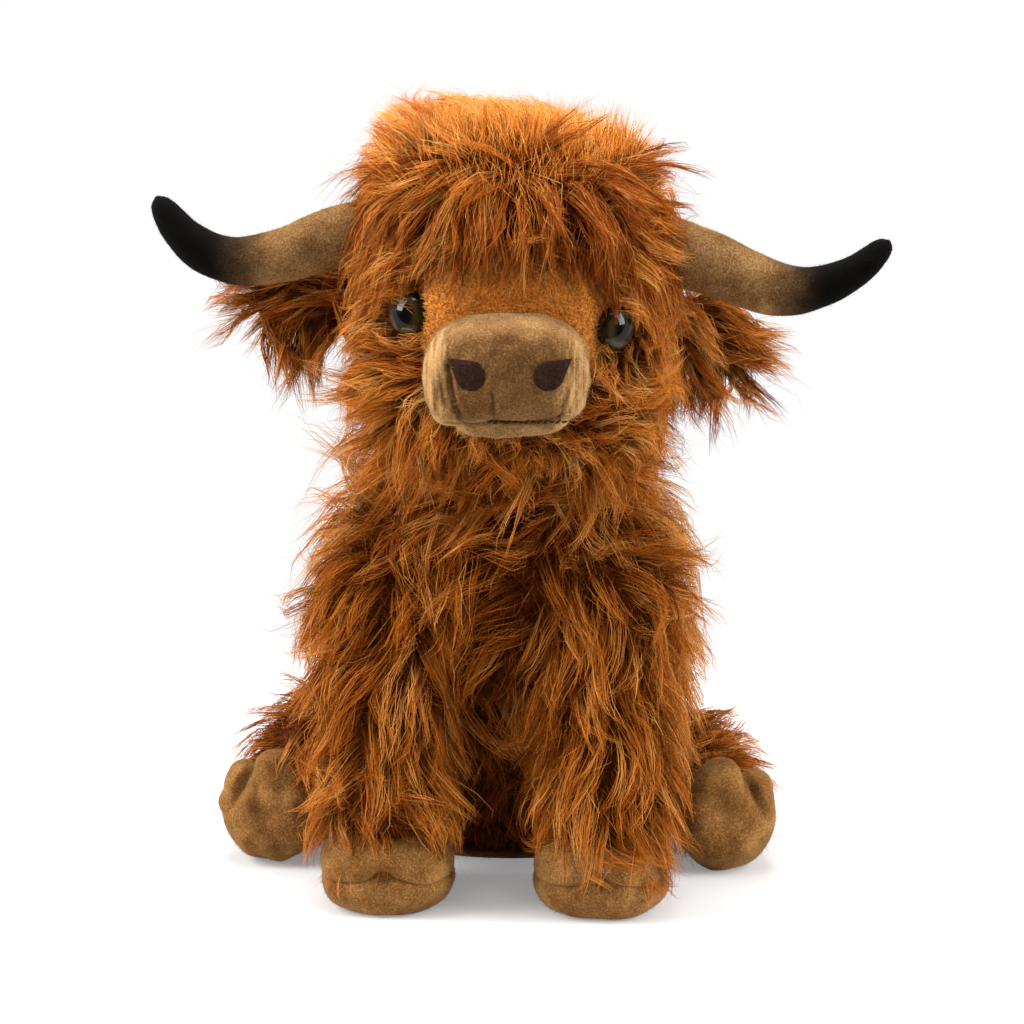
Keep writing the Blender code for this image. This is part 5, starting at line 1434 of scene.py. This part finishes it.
# Haunches: the hind legs lie beside the seat, folded forwards, and their pile is brushed back and out.
for side, name in ((-1, "left"), (1, "right")):
    body = f"rear_leg_{name}"
    length = np.linspace(0, 1, 40)
    swell = np.sqrt(np.maximum(0.002, 1 - (2 * length - 1) ** 6)) * (1 - 0.12 * length)
    rise = (0.0235 - 0.0025 * side) * swell
    path = np.stack([side * (0.070 + 0.014 * length), 0.033 - 0.062 * length, 0.0025 + rise], axis=1)
    skin = tube_grid(path, 0.0205 * swell, rise, (1, 0, 0), around=60)
    skin[..., 2] = np.maximum(skin[..., 2], 0.0008)
    cloth = add_mesh(f"haunch_cloth_{name}", *closed_grid(skin), backing)
    dressed(cloth, body, "long_pile", f"rear_leg_{name}", fill=0.85)

    def off_haunch(points, normals, side=side):
        """Outwards, back and a little down."""
        way = np.zeros_like(points)
        way[:, 0], way[:, 1], way[:, 2] = 0.70 * side, 0.25, -0.72 - 0.20 * side
        return way + normals * 0.3

    hair = furred(
        f"haunch_pile_{name}", skin, 3200, 150, off_haunch,
        lambda p, side=side: np.full(len(p), 0.024 - 0.004 * side),
        lambda p, side=side: np.full(len(p), 28.0 - 10 * side), 100 + side, ginger,
        density=lambda p: (p[..., 2] > 0.004) * 1.0, outside=lambda p: 0.001 - p[..., 2],
        rings=BACK_RINGS, loft=0.011, swirl=0.6, sag=0.35,
    )
    fluff = fuzzed(
        f"haunch_undercoat_{name}", skin, 2600, 0.009, undercoat, 104 + side,
        fade=lambda p: (p[..., 2] > 0.0065) * 1.0, width=UNDERCOAT_WIDTH,
    )
    for part in (hair, fluff):
        dressed(part, body, "long_pile")

# Rear hooves: upright velour cushions with a cleft between two toes and the sole facing forwards.
REAR_HALF_WIDTH, REAR_HALF_HEIGHT, REAR_DEPTH = 0.0205, 0.0215, 0.030
SEAM_ROW = 36


def cloven_grid(side, middle, seed):
    """An outline with a high inner toe and a low outer one, the notch between them drawn into a cleft
    that runs down the sole, blown up between its seams: the ring at t lies at sin(t)^0.7 of the outline
    and at cos(t) of half the depth."""
    turn = np.linspace(0, 2 * math.pi, 160, endpoint=False)
    from_top = ((turn + math.pi / 2) % (2 * math.pi) - math.pi) * side
    outline = 1 + 0.07 * bell((from_top + 0.05) / 0.35) + 0.11 * bell((from_top - 0.85) / 0.22)
    outline = outline - 0.20 * bell((from_top - 0.40) / 0.13)
    u = outline * np.sin(from_top)
    v = outline * np.cos(from_top)
    step = np.linspace(0.04, math.pi - 0.04, 64)[:, None]
    out = np.sin(step) ** 0.7
    line = np.clip(1 - v * out, 0, 1)
    cleft = 0.30 + 0.34 * line**1.4
    reach = ramp(v * out, -0.12, 0.7) ** 0.8
    groove = 0.62 * reach * bell(np.abs((u * out - cleft) / 0.15), 1.3)
    dimple = 0.16 * np.exp(-(((u * out + 0.25) / 0.25) ** 2) - ((v * out - 0.15) / 0.5) ** 2)
    thick = REAR_DEPTH / 2 * (1 - groove - dimple) * np.cos(step)
    seam = 1 - 0.022 * bell((thick + 0.002) / 0.0012)
    yaw = side * math.radians(14)
    x, y, z = side * REAR_HALF_WIDTH * u * out * seam, thick, REAR_HALF_HEIGHT * v * out * seam
    turned_x = middle[0] + x * math.cos(yaw) - y * math.sin(yaw)
    turned_y = middle[1] + x * math.sin(yaw) + y * math.cos(yaw)
    grid = np.stack([turned_x, turned_y, middle[2] + z + 0 * y], axis=-1)
    grid = grid + 0.0005 * drifting(grid, 0.014, seed)
    grid[..., 2] = np.maximum(grid[..., 2], 0.0003)
    return grid


for side, name in ((-1, "left"), (1, "right")):
    form = cloven_grid(side, (side * 0.0885 - 0.0014, -0.036, 0.021), 17 + side)
    for shell, kind in ((form[SEAM_ROW:], "sole"), (form[: SEAM_ROW + 1], "hoof")):
        piece = add_mesh(f"rear_{kind}_velour_{name}", *closed_grid(shell), hoof_plush)
        dressed(piece, f"rear_leg_{name}", "tan_plush", f"rear_{kind}_{name}", fill=0.9)
    fuzz = fuzzed(f"rear_hoof_nap_{name}", form, 2600, 0.0010, hoof_plush, 110 + side, fade=above_floor)
    dressed(fuzz, f"rear_leg_{name}", "tan_plush")

# The tail: a short stuffed cord sewn to the back over the seat, ending in a long tuft.
TAIL_ROOT, TAIL_OUT, TAIL_DROP, TAIL_RADIUS = (0, 0.0430, 0.058), 0.0235, 0.032, 0.0045
length = np.linspace(0, 1, 30)
behind = TAIL_ROOT[1] + TAIL_OUT * np.sin(length * math.pi / 2)
path = np.stack([0 * length, behind, TAIL_ROOT[2] - TAIL_DROP * length**1.5], axis=1)
swell = np.sqrt(np.maximum(0.01, 1 - (2 * length - 1) ** 6))
tail_skin = tube_grid(path, TAIL_RADIUS * swell, TAIL_RADIUS * swell, (1, 0, 0), around=40)
tail_cloth = add_mesh("tail_cloth", *closed_grid(tail_skin), backing)
dressed(tail_cloth, "tail", "long_pile", "tail", "tail_tuft", fill=0.8)


def down_tail(points, normals):
    """Down, with a share of the skin's own outward way."""
    return normals * 0.25 + np.array([0, 0.25, -1.0])


tail_pile = furred(
    "tail_pile", tail_skin, 1500, 80, down_tail,
    lambda p: np.interp(p[:, 2], [0.026, 0.04], [0.026, 0.018]), lambda p: np.full(len(p), 28.0), 120, ginger,
    rings=BACK_RINGS, loft=0.005, swirl=0.4, sag=0.6,
)
dressed(tail_pile, "tail", "long_pile")

# The seat panel is a flat gusset of knitted cloth, and the pouch over it a woven bag of pellets. The
# gusset's outline runs from its underside's middle round its rolled edge.
def woven_finish(name, dark, light, scale):
    """Plain weave: two crossed sets of bands, with slubs."""
    finish = Finish(name, Roughness=0.92)
    place = finish.node("TexCoord", output=3)
    warp = finish.node("TexWave", {"bands_direction": "X"}, Vector=place, Scale=scale, Distortion=0.4)
    weft = finish.node("TexWave", {"bands_direction": "Y"}, Vector=place, Scale=scale, Distortion=0.4)
    slub = finish.node("TexNoise", Vector=place, Scale=160.0, Detail=2.0)
    weave = warp * weft * 0.7 + slub * 0.3
    paint = finish.node("ValToRGB", {"stops": ((0.1, dark), (0.6, light))}, Fac=weave)
    bump = finish.node("Bump", Strength=0.5, Distance=0.0004, Height=weave)
    return finish.feed(Base_Color=paint, Normal=bump)


seat_share = np.array([0.03, 0.5, 0.9, 0.97, 1.0, 0.985, 0.95, 0.03])[:, None]
seat_level = np.array([0.0, 0.0, 0.0, 0.0003, 0.0014, 0.0026, 0.0030, 0.0030])
turn = np.linspace(0, 2 * math.pi, 96, endpoint=False)
c, s = squared(turn, 2.2)
seat_grid = np.empty((len(seat_level), len(turn), 3))
seat_grid[..., 0] = 0.0443 * seat_share * c
seat_grid[..., 1] = 0.0335 * seat_share * s
seat_grid[..., 2] = seat_level[:, None]
knit = woven_finish("seat_knit", (0.09, 0.03, 0.008), (0.22, 0.085, 0.03), 500.0)
seat = add_mesh("seat_gusset", *closed_grid(seat_grid), knit)
dressed(seat, "torso", "panel_knit", "seat_panel", fill=0.1)
level = np.linspace(0, 1, 24)
swell = np.sqrt(np.maximum(0.01, 1 - (2 * level - 1) ** 4))
path = np.stack([0 * level, 0 * level, 0.0038 + 0.0225 * level], axis=1)
pouch_grid = tube_grid(path, 0.029 * swell, 0.023 * swell, (1, 0, 0), around=80)
pouch_grid += 0.0005 * drifting(pouch_grid, 0.008, 9) * (swell[:, None, None] > 0.5)
cotton = woven_finish("bag_cotton", (0.45, 0.42, 0.36), (0.75, 0.72, 0.66), 700.0)
pouch = add_mesh("pellet_bag", *closed_grid(pouch_grid), cotton)
dressed(pouch, "torso", "pouch_cloth", "pellet_pouch", fill=0.7)

# The studio: a pale sweep, a large soft lamp over each shoulder of the camera and one overhead. The
# backdrop is white to the camera and to gloss. The sweep ends in front of the toy, below the picture,
# and the room behind the camera is dark.
CAMERA_DISTANCE = 0.9205
CAMERA_TILT, CAMERA_TURN = math.radians(12), math.radians(3)
AIM = np.array([0.0045, -0.037, 0.141])

floor = bpy.data.objects.new("floor", bpy.data.meshes.new("floor"))
NEAR, FAR = -0.31, 6
corners = [(-FAR, NEAR, 0), (FAR, NEAR, 0), (FAR, FAR, 0), (-FAR, FAR, 0)]
floor.data.from_pydata(corners, [], [(0, 1, 2, 3)])
bpy.context.scene.collection.objects.link(floor)
sweep = Finish("studio_sweep", Roughness=0.9, Specular_IOR_Level=0.1)
sweep.shader.inputs["Base Color"].default_value = (0.87, 0.87, 0.87, 1)


def seen(finish):
    """1 for a ray from the camera, or one that a gloss or a clear piece sends on, and 0 for others. The
    outputs of Light Path are Is Camera Ray, Is Glossy Ray and Is Transmission Ray."""
    rays = [finish.node("LightPath", output=number) for number in (0, 3, 6)]
    return rays[0].math("MAXIMUM", rays[1]).math("MAXIMUM", rays[2])


spot = sweep.node("TexCoord", output=3)
range_out = sweep.node("VectorMath", {"operation": "LENGTH"}, output=1, _0=spot)
white_share = ((range_out - 0.20) * 8.0).math("MAXIMUM", 0.24).math("MINIMUM", 1.0) * seen(sweep)
lit = sweep.tree.nodes.new("ShaderNodeEmission")
both = sweep.tree.nodes.new("ShaderNodeMixShader")
sweep.tree.links.new(white_share.socket, both.inputs[0])
sweep.tree.links.new(sweep.shader.outputs[0], both.inputs[1])
sweep.tree.links.new(lit.outputs[0], both.inputs[2])
sweep.tree.links.new(both.outputs[0], sweep.tree.nodes["Material Output"].inputs["Surface"])
floor.data.materials.append(sweep.material)

level = math.cos(CAMERA_TILT)
way = [level * math.sin(CAMERA_TURN), -level * math.cos(CAMERA_TURN), math.sin(CAMERA_TILT)]
eye = bpy.data.cameras.new("camera")
eye.lens, eye.sensor_width, eye.clip_start = 85, 36, 0.01
camera = bpy.data.objects.new("camera", eye)
camera.location = AIM + CAMERA_DISTANCE * np.array(way)
camera.rotation_euler = (math.pi / 2 - CAMERA_TILT, 0, CAMERA_TURN)
bpy.context.scene.collection.objects.link(camera)
bpy.context.scene.camera = camera

world = bpy.data.worlds.new("studio")
world.use_nodes = True
tree = world.node_tree
air = tree.nodes["Background"]
air.inputs["Color"].default_value = (1, 1, 1, 1)
path = tree.nodes.new("ShaderNodeLightPath")
straight = Wave(tree, path.outputs["Is Camera Ray"])
straight = straight.math("MAXIMUM", Wave(tree, path.outputs["Is Transmission Ray"]))
gloss = Wave(tree, path.outputs["Is Glossy Ray"])
where = tree.nodes.new("ShaderNodeTexCoord")
depth = tree.nodes.new("ShaderNodeSeparateXYZ")
tree.links.new(where.outputs["Generated"], depth.inputs[0])
behind = ((Wave(tree, depth.outputs["Y"]) + 0.30) * 2.5).held()
mirrored = gloss * (behind * 0.96 + 0.04)
soft = (gloss * -1.0 + 1.0) * 0.30
tree.links.new(straight.math("MAXIMUM", mirrored + soft).socket, air.inputs["Strength"])
bpy.context.scene.world = world
for name, place, size, power in (
    ("key_lamp", (-1.12, -0.36, 0.86), 0.85, 25.0),
    ("fill_lamp", (1.14, -0.36, 0.82), 0.85, 18.5),
    ("top_lamp", (0.0, 0.0, 1.30), 0.9, 15.0),
):
    glow = bpy.data.lights.new(name, "AREA")
    glow.shape, glow.size, glow.size_y, glow.energy = "RECTANGLE", size * 0.7, size * 1.2, power
    lamp = bpy.data.objects.new(name, glow)
    lamp.location = place
    aim = np.array(place) - AIM
    lamp.rotation_euler = (math.atan2(math.hypot(aim[0], aim[1]), aim[2]), 0, math.atan2(aim[0], -aim[1]))
    bpy.context.scene.collection.objects.link(lamp)
bpy.context.scene.view_settings.view_transform = "Standard"
